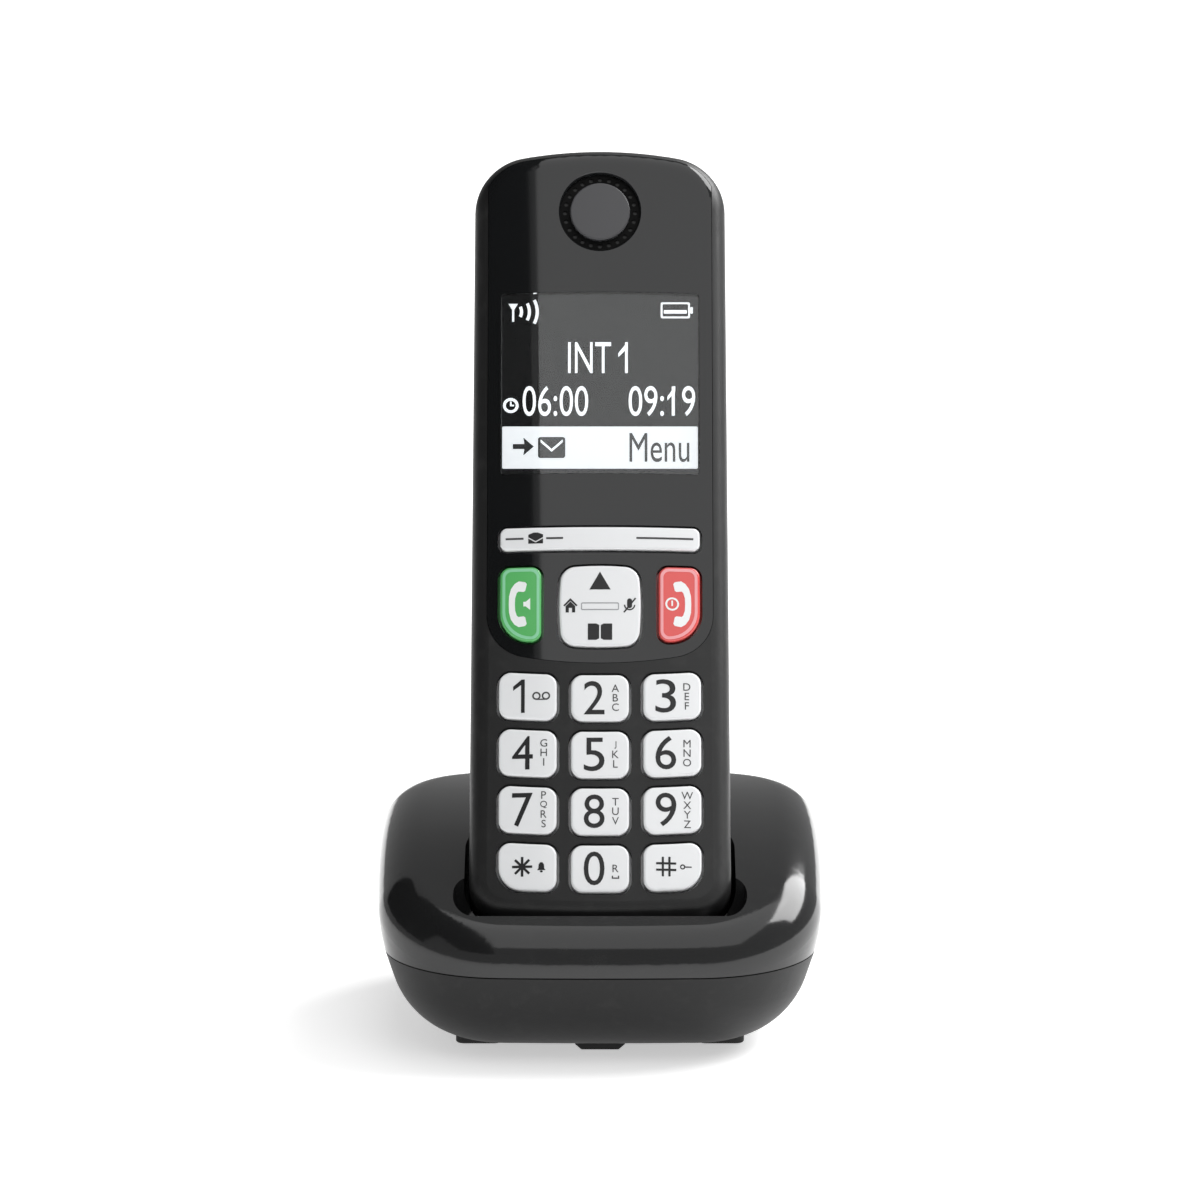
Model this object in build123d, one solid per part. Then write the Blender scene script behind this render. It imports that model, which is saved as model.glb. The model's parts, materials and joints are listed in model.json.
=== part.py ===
"""Cordless telephone: a slim handset that stands in its charging base.

The base is modelled upright, with +Z up and the keypad side facing -Y. The handset is
modelled upright in its own frame and then leaned back into the base:

    x  to the right, seen from the keypad side
    y  depth, 0 on the crest of the keypad face and growing towards the back
    z  along the handset, 0 at its foot and HANDSET_LENGTH at its head

All sizes are millimetres and degrees. The finished model is shifted along Y so that the
origin is under the middle of its bounding box, on the table.
"""

import math
import os

from build123d import *

# ---------------------------------------------------------------- handset: overall shape
HANDSET_WIDTH = 49.4  # at the foot
HEAD_NARROWING = 0.7  # how much less the half width is at the head
HANDSET_LENGTH = 153.4
HANDSET_THICKNESS = 25.0  # at mid length
END_THICKNESS = 18.0  # at the head and the foot
FACE_RADIUS = 150.0  # crown of the keypad face, across its width
HEAD_CROWN = 3.0  # how far the head's edge falls from its middle to the sides
FOOT_CROWN = 1.6
HEAD_CORNER = 11.0
FOOT_CORNER = 7.6
FRONT_EDGE = 4.0  # edge radius round the keypad face
BACK_EDGE = 6.4  # edge radius round the back
SHELL_WALL = 2.0
SHELL_SEAM = 10.4  # depth of the parting line between the two handset shells
SEAM_GAP = 0.12
LIP = 0.8  # width of the locating lip inside a seam

# ---------------------------------------------------------------- handset: glossy fascia
FASCIA_HALF_WIDTH = 21.4
FASCIA_FOOT = 50.3  # z of the fascia's lower edge, on the centre line
FASCIA_HEAD_MARGIN = 1.5  # matt rim left between the fascia and the head's edge
FASCIA_FOOT_CROWN = 3.0
FASCIA_FOOT_CORNER = 8.5
FASCIA_THICKNESS = 1.1
GLUE_GAP = 0.06
INLAY_GAP = 0.1  # round a part that is let into another

WINDOW_WIDTH = 37.8
WINDOW_HEIGHT = 36.2
WINDOW_CENTRE = 105.8
WINDOW_CORNER = 0.6

EARPIECE_CENTRE = 140.2
EARPIECE_CAP_RADIUS = 5.75
EARPIECE_RING_RADIUS = 7.7  # outer edge of the sound slot round the cap
EARPIECE_RING_CHAMFER = 0.55
SOUND_HOLE_RADIUS = 0.42
SOUND_HOLES = 24

# ---------------------------------------------------------------- handset: keys
KEY_PITCH_X = 13.6
KEY_PITCH_Z = 11.05
KEY_WIDTH = 10.9
KEY_HEIGHT = 9.0
KEY_ROW_FOOT = 10.1  # z of the lowest row's centre, on the centre line
KEY_ROW_SMILE = 0.0026  # a row rises by this times x squared
KEY_CORNER = 2.2
KEY_OUTER_CORNER = 4.6  # the two corners next to the handset's own foot corners
KEY_GAP = 0.5
KEY_PROUD = 0.7  # how far a key top stands above the face
KEY_TOP_EDGE = 0.45
KEY_FLANGE = 0.8
KEY_FLANGE_PLAY = 0.1
KEY_BACK = 4.6  # depth of the flat underside of every key
KEY_TRAVEL = 0.5

CALL_KEY_WIDTH = 7.8
CALL_KEY_HEIGHT = 14.6
CALL_KEY_CENTRE_X = 15.0
CALL_KEY_CENTRE_Z = 61.8
CALL_KEY_CORNER = 1.9
CALL_KEY_CUT = 5.7  # large radius of the lower outer corner

NAV_WIDTH = 15.4
NAV_HEIGHT = 15.9
NAV_CENTRE_Z = 61.3
NAV_BOW = 0.45  # bulge of each of its edges
NAV_CORNER = 3.0
NAV_TILT = 2.0  # limit of each of its two tilts
PIVOT_BALL_RADIUS = 1.6
PIVOT_PLAY = 0.15
PIVOT_DEPTH = 3.4

SOFT_KEY_WIDTH = 37.8
SOFT_KEY_HEIGHT = 4.4
SOFT_KEY_CENTRE_Z = 74.7
SOFT_KEY_CORNER = 1.3
SOFT_KEY_TILT = 1.4  # limit of its rocking, each way
ROCKER_FLANGE_PLAY = 0.6

# ---------------------------------------------------------------- handset: inside
MAT_FRONT = KEY_BACK + KEY_TRAVEL + 0.05
MAT_THICKNESS = 0.6
MAT_HALF_WIDTH = 20.2
MAT_MARGIN = 2.0
PLUNGER_RADIUS = 1.3
DOME_RADIUS = 2.4
DOME_CROWN_RADIUS = 1.3
DOME_HEIGHT = 0.32
BOARD_FRONT = 6.6
BOARD_THICKNESS = 1.0
BOARD_MARGIN = 0.7  # round the board, inside the shells
LCD_FRONT = 3.75
LCD_THICKNESS = 1.1
LIGHT_GUIDE_THICKNESS = 1.0
LCD_MARGIN = 1.6  # how far the glass reaches past the window
LCD_FRAME_WALL = 0.9
LCD_GAP = 0.1
SPEAKER_RADIUS = 6.6
SPEAKER_THICKNESS = 3.0
RINGER_RADIUS = 9.5
RINGER_THICKNESS = 4.2
RINGER_CENTRE = 116.0
GRILLE_SLOTS = 5
GRILLE_PITCH = 2.6
GRILLE_SLOT_LENGTH = 12.0
GRILLE_SLOT_WIDTH = 1.1
MICROPHONE_RADIUS = 2.0
MICROPHONE_HEIGHT = 1.4
MICROPHONE_HOLE_RADIUS = 0.7
CAN_WIDTH = 22.0
CAN_LENGTH = 17.0
CAN_HEIGHT = 2.2
CAN_WALL = 0.3
CAN_CENTRE_Z = 100.0

BOSS_X = 16.6
BOSS_ZS = (51.9, 81.9)
BOSS_RADIUS = 2.1
SCREW_RADIUS = 0.8
SCREW_HOLE_RADIUS = 0.9
SCREW_HEAD_RADIUS = 1.7
SCREW_HEAD_HEIGHT = 1.2
SCREW_LENGTH = 8.0

CELL_RADIUS = 5.2
CELL_LENGTH = 43.7
CELL_NUB_RADIUS = 1.9
CELL_NUB_HEIGHT = 0.8
CELL_X = 5.5
BAY_FOOT = 36.0
BAY_FLOOR = 10.6  # depth of the bay's floor
BAY_HALF_WIDTH = 11.2
BAY_WALL = 1.0
CONTACT_THICKNESS = 0.4
SPRING_LENGTH = 3.9
SPRING_WIRE = 0.3
SPRING_RADIUS = 2.6
SPRING_TURNS = 3
BAY_PLAY = 0.1

COVER_HALF_WIDTH = 19.2
COVER_FOOT = 31.4
COVER_HEAD = 90.0
COVER_CORNER = 4.0
COVER_THICKNESS = 1.2
COVER_GAP = 0.45  # round the cover, so that its foot edge can turn in the recess
COVER_LUG_WIDTH = 5.0
COVER_LUG_X = 10.0
COVER_LUG_REACH = 1.3
COVER_LUG_THICKNESS = 0.8
COVER_NOTCH_RADIUS = 4.5
COVER_OPENING = 25.0  # limit of its tilt

PAD_X = 9.0
PAD_WIDTH = 5.0
PAD_DEPTH = 3.4
PAD_Y = 7.6
PAD_RECESS = 0.35
PAD_HEIGHT = 2.2
PAD_GAP = 0.08

# ---------------------------------------------------------------- where the handset stands
LEAN = 29.0
FOOT_Y = -33.3  # the handset frame's origin, from the middle of the base
FOOT_Z = 27.3
LIFT = 80.0

# ---------------------------------------------------------------- base: outer shape
BASE_HALF_WIDTH = 42.2  # at the widest level
BASE_HALF_DEPTH = 42.6
PLAN_BOW = 1.6  # how far the middle of a side stands out past its ends
PLAN_CORNER = 24.0
SEAM_Z = 18.6
SEAM_STEP_IN = 1.0  # the seam is this much narrower than the widest level
WIDEST_Z = 23.4
BELT_RADIUS = 25.0
BLANK_TOP = 52.0
BOWL_DRAFT = 18.0
BOWL_RADIUS = 17.0
BASE_BOTTOM = 1.5  # the bottom face is held this far off the table by the feet
CREST_Y = 20.0
CREST_Z = 39.6
CREST_RADIUS = 140.0
BASE_TOP_EDGE = 8.0
BASE_WALL = 2.2
BASE_SEAM_GAP = 0.25
TONGUE_DEPTH = 1.8
TONGUE_WALL = 1.0
TONGUE_PLAY = 0.12

# ---------------------------------------------------------------- base: cradle
CRADLE_GAP = 0.9  # round the handset
CRADLE_WALL = 1.8
RELIEF_HALF_WIDTH = 27.6  # the rim opens out beside the handset's foot corners
RELIEF_FRONT = -1.5
RELIEF_BACK = 7.0
RELIEF_CORNER = 4.0
RELIEF_FLOOR = 0.0

PIN_RADIUS = 1.1
PIN_HOLE_RADIUS = 1.19
PIN_COLLAR_RADIUS = 1.8
PIN_COLLAR = 0.8
PIN_TRAVEL = 0.8  # how far a charging pin sinks
PIN_TIP_GAP = 0.08
BLOCK_WALL = 1.0
BLOCK_HEIGHT = 5.4
PIN_SPRING_WIRE = 0.22

# ---------------------------------------------------------------- base: underside and inside
FOOT_X = 22.9
FOOT_YS = (-18.3, 18.3)
PAD_HALF_X = 4.4
PAD_HALF_Y = 3.0
PAD_ROUND = 1.6
PAD_SEAT = 0.9  # depth of the recess that a rubber foot is glued into
POST_X = 21.6
POST_YS = (-9.5, 9.5)
POST_RADIUS = 3.0
POST_JOIN = 9.4  # z where a post of the bottom shell meets one of the top shell
BASE_SCREW_RADIUS = 1.2
BASE_SCREW_HOLE_RADIUS = 1.35
BASE_SCREW_HEAD_RADIUS = 2.2
BASE_SCREW_HEAD_HEIGHT = 1.6
BASE_SCREW_LENGTH = 10.0
BASE_BOARD_Z = 6.3
BASE_BOARD_THICKNESS = 1.2
BASE_BOARD_HALF_WIDTH = 17.5
BASE_BOARD_FRONT = -13.0
BASE_BOARD_BACK = 31.0
BASE_BOARD_TONGUE_HALF_WIDTH = 6.5
BASE_BOARD_TONGUE_FRONT = -28.4
RIB_X = 15.5
RIB_THICKNESS = 1.4
SOCKET_WIDTH = 12.4
SOCKET_DEPTH = 13.5
SOCKET_HEIGHT = 9.2
SOCKET_X = 8.6
SOCKET_FACE_Y = 33.4
SOCKET_CAVITY_DEPTH = 11.0
SOCKET_CAVITY_HEIGHT = 6.7
LINE_PLUG_WIDTH = 9.7
POWER_PLUG_WIDTH = 7.7
PORT_PLAY = 0.25
PAGING_HALF_WIDTH = 4.7
PAGING_TIP_HALF_WIDTH = 3.5
PAGING_FRONT = -26.6
PAGING_BACK = -22.8
PAGING_TIP_Z = 0.35
PAGING_FLARE_Z = 1.5
PAGING_TOP_Z = 4.2
PAGING_PLAY = 0.15
PAGING_TRAVEL = 0.8
SWITCH_SIZE = 4.5

EPS = 0.01
FAR = 400.0

HANDSET = Location((0, FOOT_Y, FOOT_Z), (-LEAN, 0, 0))


# ================================================================ helpers
def block(x, y, z):
    """Box between two values on each axis."""
    size = (x[1] - x[0], y[1] - y[0], z[1] - z[0])
    middle = ((x[0] + x[1]) / 2, (y[0] + y[1]) / 2, (z[0] + z[1]) / 2)
    return Pos(*middle) * Box(*size)


def depth_slab(front, back):
    """Everything in the handset between two depths."""
    return block((-FAR, FAR), (front, back), (-FAR, FAR))


def behind(outline, front, back):
    """Prism behind an x-z outline, between two depths."""
    return extrude(Plane.XZ.offset(-back) * outline, amount=back - front)


def rounded(width, height, corner, x=0.0, z=0.0):
    """Rounded rectangle as an x-z outline."""
    return Pos(x, z) * RectangleRounded(width, height, corner)


def across(radius, front, back, x=0.0, z=0.0):
    """Cylinder along the depth, between two depths."""
    middle = Pos(x, (front + back) / 2, z)
    return middle * Rot(X=90) * Cylinder(radius, back - front)


def upright(radius, low, high, x=0.0, y=0.0):
    """Cylinder along z."""
    return Pos(x, y, (low + high) / 2) * Cylinder(radius, high - low)


def face_depth(x):
    """Depth of the crowned keypad face at x."""
    return FACE_RADIUS - math.sqrt(FACE_RADIUS**2 - x * x)


def back_depth(z):
    """Depth of the handset's back at z."""
    sag = HANDSET_THICKNESS - END_THICKNESS
    radius = ((HANDSET_LENGTH / 2) ** 2 + sag**2) / (2 * sag)
    return HANDSET_THICKNESS - radius + math.sqrt(radius**2 - (z - HANDSET_LENGTH / 2) ** 2)


def face_drum(grow):
    """Everything deeper than the keypad face, moved outwards by grow."""
    return Pos(0, FACE_RADIUS, HANDSET_LENGTH / 2) * Cylinder(FACE_RADIUS + grow, 2 * HANDSET_LENGTH)


def coil(radius, wire, turns, length):
    """Helical compression spring standing on z = 0."""
    rise = length - 2 * wire
    path = Pos(0, 0, wire) * Helix(pitch=rise / turns, height=rise, radius=radius)
    start = Plane(origin=path @ 0, z_dir=path % 0)
    return sweep(start * Circle(wire), path=path)


# ================================================================ handset: outer form
def handset_outline(grow=0.0):
    """Outline of the handset seen from the keypad side."""
    half = HANDSET_WIDTH / 2
    narrow = half - HEAD_NARROWING
    low, high = FOOT_CROWN, HANDSET_LENGTH - HEAD_CROWN
    foot = ThreePointArc((-half, low), (0, 0), (half, low))
    head = ThreePointArc((narrow, high), (0, HANDSET_LENGTH), (-narrow, high))
    sides = [Line((half, low), (narrow, high)), Line((-narrow, high), (-half, low))]
    sketch = make_face([foot, sides[0], head, sides[1]])
    sketch = fillet(sketch.vertices().sort_by(Axis.Y)[:2], FOOT_CORNER)
    sketch = fillet(sketch.vertices().sort_by(Axis.Y)[-2:], HEAD_CORNER)
    return offset(sketch, amount=grow) if grow else sketch


def handset_body(grow=0.0):
    """The whole handset as one solid, with every face moved outwards by grow."""
    sag = HANDSET_THICKNESS - END_THICKNESS
    radius = ((HANDSET_LENGTH / 2) ** 2 + sag**2) / (2 * sag)
    centre = Pos(0, HANDSET_THICKNESS - radius, HANDSET_LENGTH / 2)
    back_drum = centre * Rot(Y=90) * Cylinder(radius + grow, 2 * HANDSET_WIDTH)
    body = behind(handset_outline(grow), -20, 60) & face_drum(grow) & back_drum
    body = fillet(body.faces().sort_by(Axis.Y)[0].edges(), FRONT_EDGE + grow)
    return fillet(body.faces().sort_by(Axis.Y)[-1].edges(), BACK_EDGE + grow)


def fascia_outline(grow=0.0):
    """Outline of the glossy fascia."""
    half = FASCIA_HALF_WIDTH
    low = FASCIA_FOOT + FASCIA_FOOT_CROWN
    high = HANDSET_LENGTH + 10
    foot = ThreePointArc((-half, low), (0, FASCIA_FOOT), (half, low))
    rest = Polyline((half, low), (half, high), (-half, high), (-half, low))
    sketch = make_face([foot, *rest.edges()])
    sketch = fillet(sketch.vertices().sort_by(Axis.Y)[:2], FASCIA_FOOT_CORNER)
    sketch = sketch & handset_outline(-FASCIA_HEAD_MARGIN)
    return offset(sketch, amount=grow) if grow else sketch


# ================================================================ handset: key outlines
def key_places():
    """Name, column and row of each number key, rows counted from the foot."""
    names = [
        ("star", "0", "hash"),
        ("7", "8", "9"),
        ("4", "5", "6"),
        ("1", "2", "3"),
    ]
    return [("key_" + n, c - 1, r) for r, row in enumerate(names) for c, n in enumerate(row)]


def round_corners(sketch, corners):
    """Rounds a sketch at each (x, z, radius) corner."""
    for x, z, radius in corners:
        nearest = min(sketch.vertices(), key=lambda v: math.dist((v.X, v.Y), (x, z)))
        sketch = fillet(nearest, radius)
    return sketch


def key_outline(column, row):
    """Outline of a number key. Its long edges follow the smile of the rows."""
    x = column * KEY_PITCH_X
    z = KEY_ROW_FOOT + row * KEY_PITCH_Z
    left, right = x - KEY_WIDTH / 2, x + KEY_WIDTH / 2

    def edge(xs, rise):
        return ThreePointArc(*[(u, z + rise + KEY_ROW_SMILE * u * u) for u in xs])

    low = edge((left, x, right), -KEY_HEIGHT / 2)
    high = edge((right, x, left), KEY_HEIGHT / 2)
    sketch = make_face([low, Line(low @ 1, high @ 0), high, Line(high @ 1, low @ 0)])
    corners = []
    for point in (low @ 0, low @ 1, high @ 0, high @ 1):
        outer = row == 0 and point.Y < z + 1 and column * (point.X - x) > 0
        corners.append((point.X, point.Y, KEY_OUTER_CORNER if outer else KEY_CORNER))
    return round_corners(sketch, corners)


def call_key_outline(side):
    """Outline of the talk key (side -1) or the end key (side 1)."""
    x = side * CALL_KEY_CENTRE_X
    w, h = CALL_KEY_WIDTH / 2, CALL_KEY_HEIGHT / 2
    sketch = Pos(x, CALL_KEY_CENTRE_Z) * Rectangle(2 * w, 2 * h)
    corners = []
    for u, v in ((-w, -h), (w, -h), (w, h), (-w, h)):
        cut = u * side > 0 and v < 0
        corners.append((x + u, CALL_KEY_CENTRE_Z + v, CALL_KEY_CUT if cut else CALL_KEY_CORNER))
    return round_corners(sketch, corners)


def nav_outline():
    """Outline of the four-way key: a rounded square with bowed edges."""
    w, h = NAV_WIDTH / 2, NAV_HEIGHT / 2
    bow = ((w - NAV_BOW) ** 2 + NAV_BOW**2) / (2 * NAV_BOW)
    sketch = Pos(0, bow - h) * Circle(bow) & Pos(0, h - bow) * Circle(bow)
    sketch = sketch & Pos(w - bow, 0) * Circle(bow) & Pos(bow - w, 0) * Circle(bow)
    return Pos(0, NAV_CENTRE_Z) * fillet(sketch.vertices(), NAV_CORNER)


def soft_key_outline():
    """Outline of the long display key."""
    return rounded(SOFT_KEY_WIDTH, SOFT_KEY_HEIGHT, SOFT_KEY_CORNER, z=SOFT_KEY_CENTRE_Z)


def keycap(outline, play=KEY_FLANGE_PLAY):
    """Keycap with a crowned top, and a flange that stops it behind the shell."""
    cap = behind(outline, -5, KEY_BACK) & face_drum(KEY_PROUD)
    top = cap.faces().sort_by(Axis.Y)[0]
    cap = fillet(top.edges(), KEY_TOP_EDGE)
    flange = behind(offset(outline, amount=KEY_FLANGE), -5, KEY_BACK) & face_drum(-SHELL_WALL - play)
    return cap + flange


def all_key_outlines():
    """Outline and flange play of every key, by node name."""
    keys = {name: (key_outline(c, r), KEY_FLANGE_PLAY) for name, c, r in key_places()}
    keys["key_talk"] = (call_key_outline(-1), KEY_FLANGE_PLAY)
    keys["key_end"] = (call_key_outline(1), KEY_FLANGE_PLAY)
    keys["key_nav"] = (nav_outline(), ROCKER_FLANGE_PLAY)
    keys["key_display"] = (soft_key_outline(), ROCKER_FLANGE_PLAY)
    return keys


def dome_places():
    """Centre of each switch dome on the board."""
    places = []
    for _, column, row in key_places():
        x = column * KEY_PITCH_X
        places.append((x, KEY_ROW_FOOT + row * KEY_PITCH_Z + KEY_ROW_SMILE * x * x))
    places += [(s * CALL_KEY_CENTRE_X, CALL_KEY_CENTRE_Z) for s in (-1, 1)]
    reach = NAV_WIDTH / 2 - DOME_RADIUS - 0.2
    places += [(s * reach, NAV_CENTRE_Z) for s in (-1, 1)]
    places += [(0, NAV_CENTRE_Z + s * reach) for s in (-1, 1)]
    reach = SOFT_KEY_WIDTH / 2 - 2 * DOME_RADIUS
    places += [(s * reach, SOFT_KEY_CENTRE_Z + 0.6) for s in (-1, 1)]
    return places


# ================================================================ handset: parts
def window_outline(grow=0.0):
    """Outline of the clear display window."""
    size = (WINDOW_WIDTH + 2 * grow, WINDOW_HEIGHT + 2 * grow)
    return rounded(*size, WINDOW_CORNER + grow, z=WINDOW_CENTRE)


def lcd_outline(grow=0.0):
    """Outline of the display glass behind the window."""
    size = (WINDOW_WIDTH + 2 * (LCD_MARGIN + grow), WINDOW_HEIGHT + 2 * (LCD_MARGIN + grow))
    return rounded(*size, WINDOW_CORNER, z=WINDOW_CENTRE)


def pad_block(side, grow=0.0):
    """Charging pad of the handset, or its hole."""
    x, wide, deep = side * PAD_X, PAD_WIDTH / 2 + grow, PAD_DEPTH / 2 + grow
    high = PAD_RECESS + PAD_HEIGHT
    low = -2.0 if grow else PAD_RECESS
    return block((x - wide, x + wide), (PAD_Y - deep, PAD_Y + deep), (low, high))


def bay_length():
    """Length of the battery bay, between its two end walls."""
    return CELL_LENGTH + CELL_NUB_HEIGHT + SPRING_LENGTH + CONTACT_THICKNESS + 3 * BAY_PLAY


def cover_outline(grow=0.0):
    """Outline of the battery cover's recess."""
    height = COVER_HEAD - COVER_FOOT
    sketch = rounded(2 * COVER_HALF_WIDTH, height, COVER_CORNER, z=COVER_FOOT + height / 2)
    return offset(sketch, amount=grow) if grow else sketch


def make_handset_shells(parts, outer, inner, keys):
    """Front and rear shells of the handset."""
    skin = outer - inner
    front = skin & depth_slab(-20, SHELL_SEAM - SEAM_GAP / 2)
    front -= behind(fascia_outline(INLAY_GAP), -20, SHELL_SEAM) - handset_body(
        -FASCIA_THICKNESS - GLUE_GAP
    )
    for outline, _ in keys.values():
        front -= behind(offset(outline, amount=KEY_GAP), -5, KEY_BACK)
    front -= behind(window_outline(0.4), -5, 5)
    front -= across(EARPIECE_CAP_RADIUS + 0.4, -5, 5, z=EARPIECE_CENTRE)
    front -= across(
        EARPIECE_RING_RADIUS + INLAY_GAP, -5, FASCIA_THICKNESS + GLUE_GAP + 0.4, z=EARPIECE_CENTRE
    )
    for side in (-1, 1):
        front -= pad_block(side, PAD_GAP)
    front -= upright(MICROPHONE_HOLE_RADIUS, -5, SHELL_WALL + 2, y=PAD_Y)
    for x in (-BOSS_X, BOSS_X):
        for z in BOSS_ZS:
            post = across(BOSS_RADIUS, SHELL_WALL, SHELL_SEAM - SEAM_GAP / 2, x, z)
            front += post & handset_body(-FASCIA_THICKNESS - 0.5)
            front -= across(SCREW_HOLE_RADIUS, SHELL_WALL + 1.6, SHELL_SEAM, x, z)
    parts["handset_front_shell"] = front

    rear = skin & depth_slab(SHELL_SEAM + SEAM_GAP / 2, 60)
    lip = handset_body(-SHELL_WALL - TONGUE_PLAY) - handset_body(-SHELL_WALL - TONGUE_PLAY - LIP)
    rear += lip & depth_slab(SHELL_SEAM - 1.4, SHELL_SEAM + 2.0) & block(
        (-FAR, FAR), (-FAR, FAR), (12, HANDSET_LENGTH - 12)
    )
    rear += (
        handset_body(-SHELL_WALL + EPS) - handset_body(-SHELL_WALL - TONGUE_PLAY - LIP)
    ) & depth_slab(SHELL_SEAM + 0.6, SHELL_SEAM + 2.0) & block(
        (-FAR, FAR), (-FAR, FAR), (12, HANDSET_LENGTH - 12)
    )
    # battery bay: a tub let in from the back
    head = BAY_FOOT + bay_length()
    tub = block(
        (-BAY_HALF_WIDTH - BAY_WALL, BAY_HALF_WIDTH + BAY_WALL),
        (BAY_FLOOR - BAY_WALL, 40),
        (BAY_FOOT - BAY_WALL, head + BAY_WALL),
    )
    rear += tub & handset_body(-COVER_THICKNESS - GLUE_GAP)
    for x in (-BOSS_X, BOSS_X):
        for z in BOSS_ZS:
            post = across(BOSS_RADIUS + 0.7, SHELL_SEAM + SEAM_GAP / 2, 40, x, z)
            rear += post & handset_body(-COVER_THICKNESS - GLUE_GAP)
    rear -= behind(cover_outline(), 5, 60) - handset_body(-COVER_THICKNESS - GLUE_GAP)
    rear -= block((-BAY_HALF_WIDTH, BAY_HALF_WIDTH), (BAY_FLOOR, 60), (BAY_FOOT, head))
    for x in (-BOSS_X, BOSS_X):
        for z in BOSS_ZS:
            rear -= across(SCREW_HOLE_RADIUS + 0.2, 5, 60, x, z)
            seat = SHELL_SEAM - 1.6 + SCREW_LENGTH - 4.6
            rear -= across(SCREW_HEAD_RADIUS + 0.3, seat, 60, x, z)
    # slots that the lugs of the battery cover hook into
    for x in (-COVER_LUG_X, COVER_LUG_X):
        y = back_depth(COVER_FOOT)
        wide = COVER_LUG_WIDTH / 2 + 0.3
        rear -= block((x - wide, x + wide), (y - 3.4, y - 1.0), (COVER_FOOT - 2.2, COVER_FOOT + 2.9))
    for i in range(GRILLE_SLOTS):
        z = RINGER_CENTRE + (i - (GRILLE_SLOTS - 1) / 2) * GRILLE_PITCH
        slot = rounded(GRILLE_SLOT_LENGTH, GRILLE_SLOT_WIDTH, GRILLE_SLOT_WIDTH / 2 - EPS, z=z)
        rear -= behind(slot, 18, 60)
    parts["handset_rear_shell"] = rear


def make_battery_parts(parts, outer):
    """Cover, cells, springs and contact plates."""
    cover = behind(cover_outline(-COVER_GAP), 5, 60) & (outer - handset_body(-COVER_THICKNESS))
    thumb = Pos(0, back_depth(COVER_HEAD) + 3.6, COVER_HEAD - 6.5) * Sphere(COVER_NOTCH_RADIUS)
    cover -= thumb
    y = back_depth(COVER_FOOT) - COVER_THICKNESS
    foot = COVER_FOOT + COVER_GAP
    for x in (-COVER_LUG_X, COVER_LUG_X):
        wide = COVER_LUG_WIDTH / 2
        cover += block(
            (x - wide, x + wide),
            (y - COVER_LUG_THICKNESS, y + 0.05),
            (foot - COVER_LUG_REACH, foot + 0.9),
        ) & handset_body(-COVER_THICKNESS + 0.3)
    parts["battery_cover"] = cover

    depth = BAY_FLOOR + CELL_RADIUS + BAY_PLAY
    length = bay_length()
    for name, side in (("left", -1), ("right", 1)):
        cell = Cylinder(CELL_RADIUS, CELL_LENGTH, align=(Align.CENTER, Align.CENTER, Align.MIN))
        cell = fillet(cell.edges(), 0.6)
        cell += upright(CELL_NUB_RADIUS, CELL_LENGTH - EPS, CELL_LENGTH + CELL_NUB_HEIGHT)
        start = SPRING_LENGTH + 2 * BAY_PLAY
        spring = Pos(0, 0, BAY_PLAY) * coil(SPRING_RADIUS, SPRING_WIRE, SPRING_TURNS, SPRING_LENGTH)
        plate = block((-3.6, 3.6), (-3.6, 3.6), (length - CONTACT_THICKNESS, length - EPS))
        stack = [Pos(0, 0, start) * cell, spring, plate]
        if side > 0:
            stack = [Pos(0, 0, length) * Rot(X=180) * s for s in stack]
        stack = [Pos(side * CELL_X, depth, BAY_FOOT) * s for s in stack]
        parts["battery_cell_" + name] = stack[0]
        parts.setdefault("battery_springs", []).append(stack[1])
        parts.setdefault("battery_plates", []).append(stack[2])


def make_display(parts, outer):
    """Fascia, window, display glass, light guide and their frame."""
    sheet = outer - handset_body(-FASCIA_THICKNESS)
    fascia = behind(fascia_outline(), -20, 9) & sheet
    for outline in (call_key_outline(-1), call_key_outline(1), nav_outline(), soft_key_outline()):
        fascia -= behind(offset(outline, amount=KEY_GAP), -5, 9)
    fascia -= behind(window_outline(INLAY_GAP / 2), -5, 9)
    ring = across(EARPIECE_RING_RADIUS, -5, 9, z=EARPIECE_CENTRE)
    fascia -= ring
    flare = Pos(0, face_depth(EARPIECE_RING_RADIUS), EARPIECE_CENTRE) * Rot(X=90)
    top, reach = EARPIECE_RING_CHAMFER + 1.0, EARPIECE_RING_RADIUS + 1.0
    cone = Cone(EARPIECE_RING_RADIUS - 0.2, reach, top, align=(Align.CENTER, Align.CENTER, Align.MIN))
    fascia -= flare * Pos(0, 0, -EARPIECE_RING_CHAMFER) * cone
    parts["display_fascia"] = fascia
    parts["display_window"] = behind(window_outline(), -20, 9) & sheet

    glass_back = LCD_FRONT + LCD_THICKNESS
    guide_back = glass_back + LCD_GAP + LIGHT_GUIDE_THICKNESS
    parts["lcd_glass"] = behind(lcd_outline(), LCD_FRONT, glass_back)
    parts["lcd_light_guide"] = behind(lcd_outline(-0.6), glass_back + LCD_GAP, guide_back)
    frame = behind(lcd_outline(LCD_GAP + LCD_FRAME_WALL), LCD_FRONT + 0.2, BOARD_FRONT)
    frame -= behind(lcd_outline(LCD_GAP), 0, guide_back + LCD_GAP)
    frame -= behind(lcd_outline(-4.0), 0, BOARD_FRONT + 1)
    parts["lcd_frame"] = frame


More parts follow.
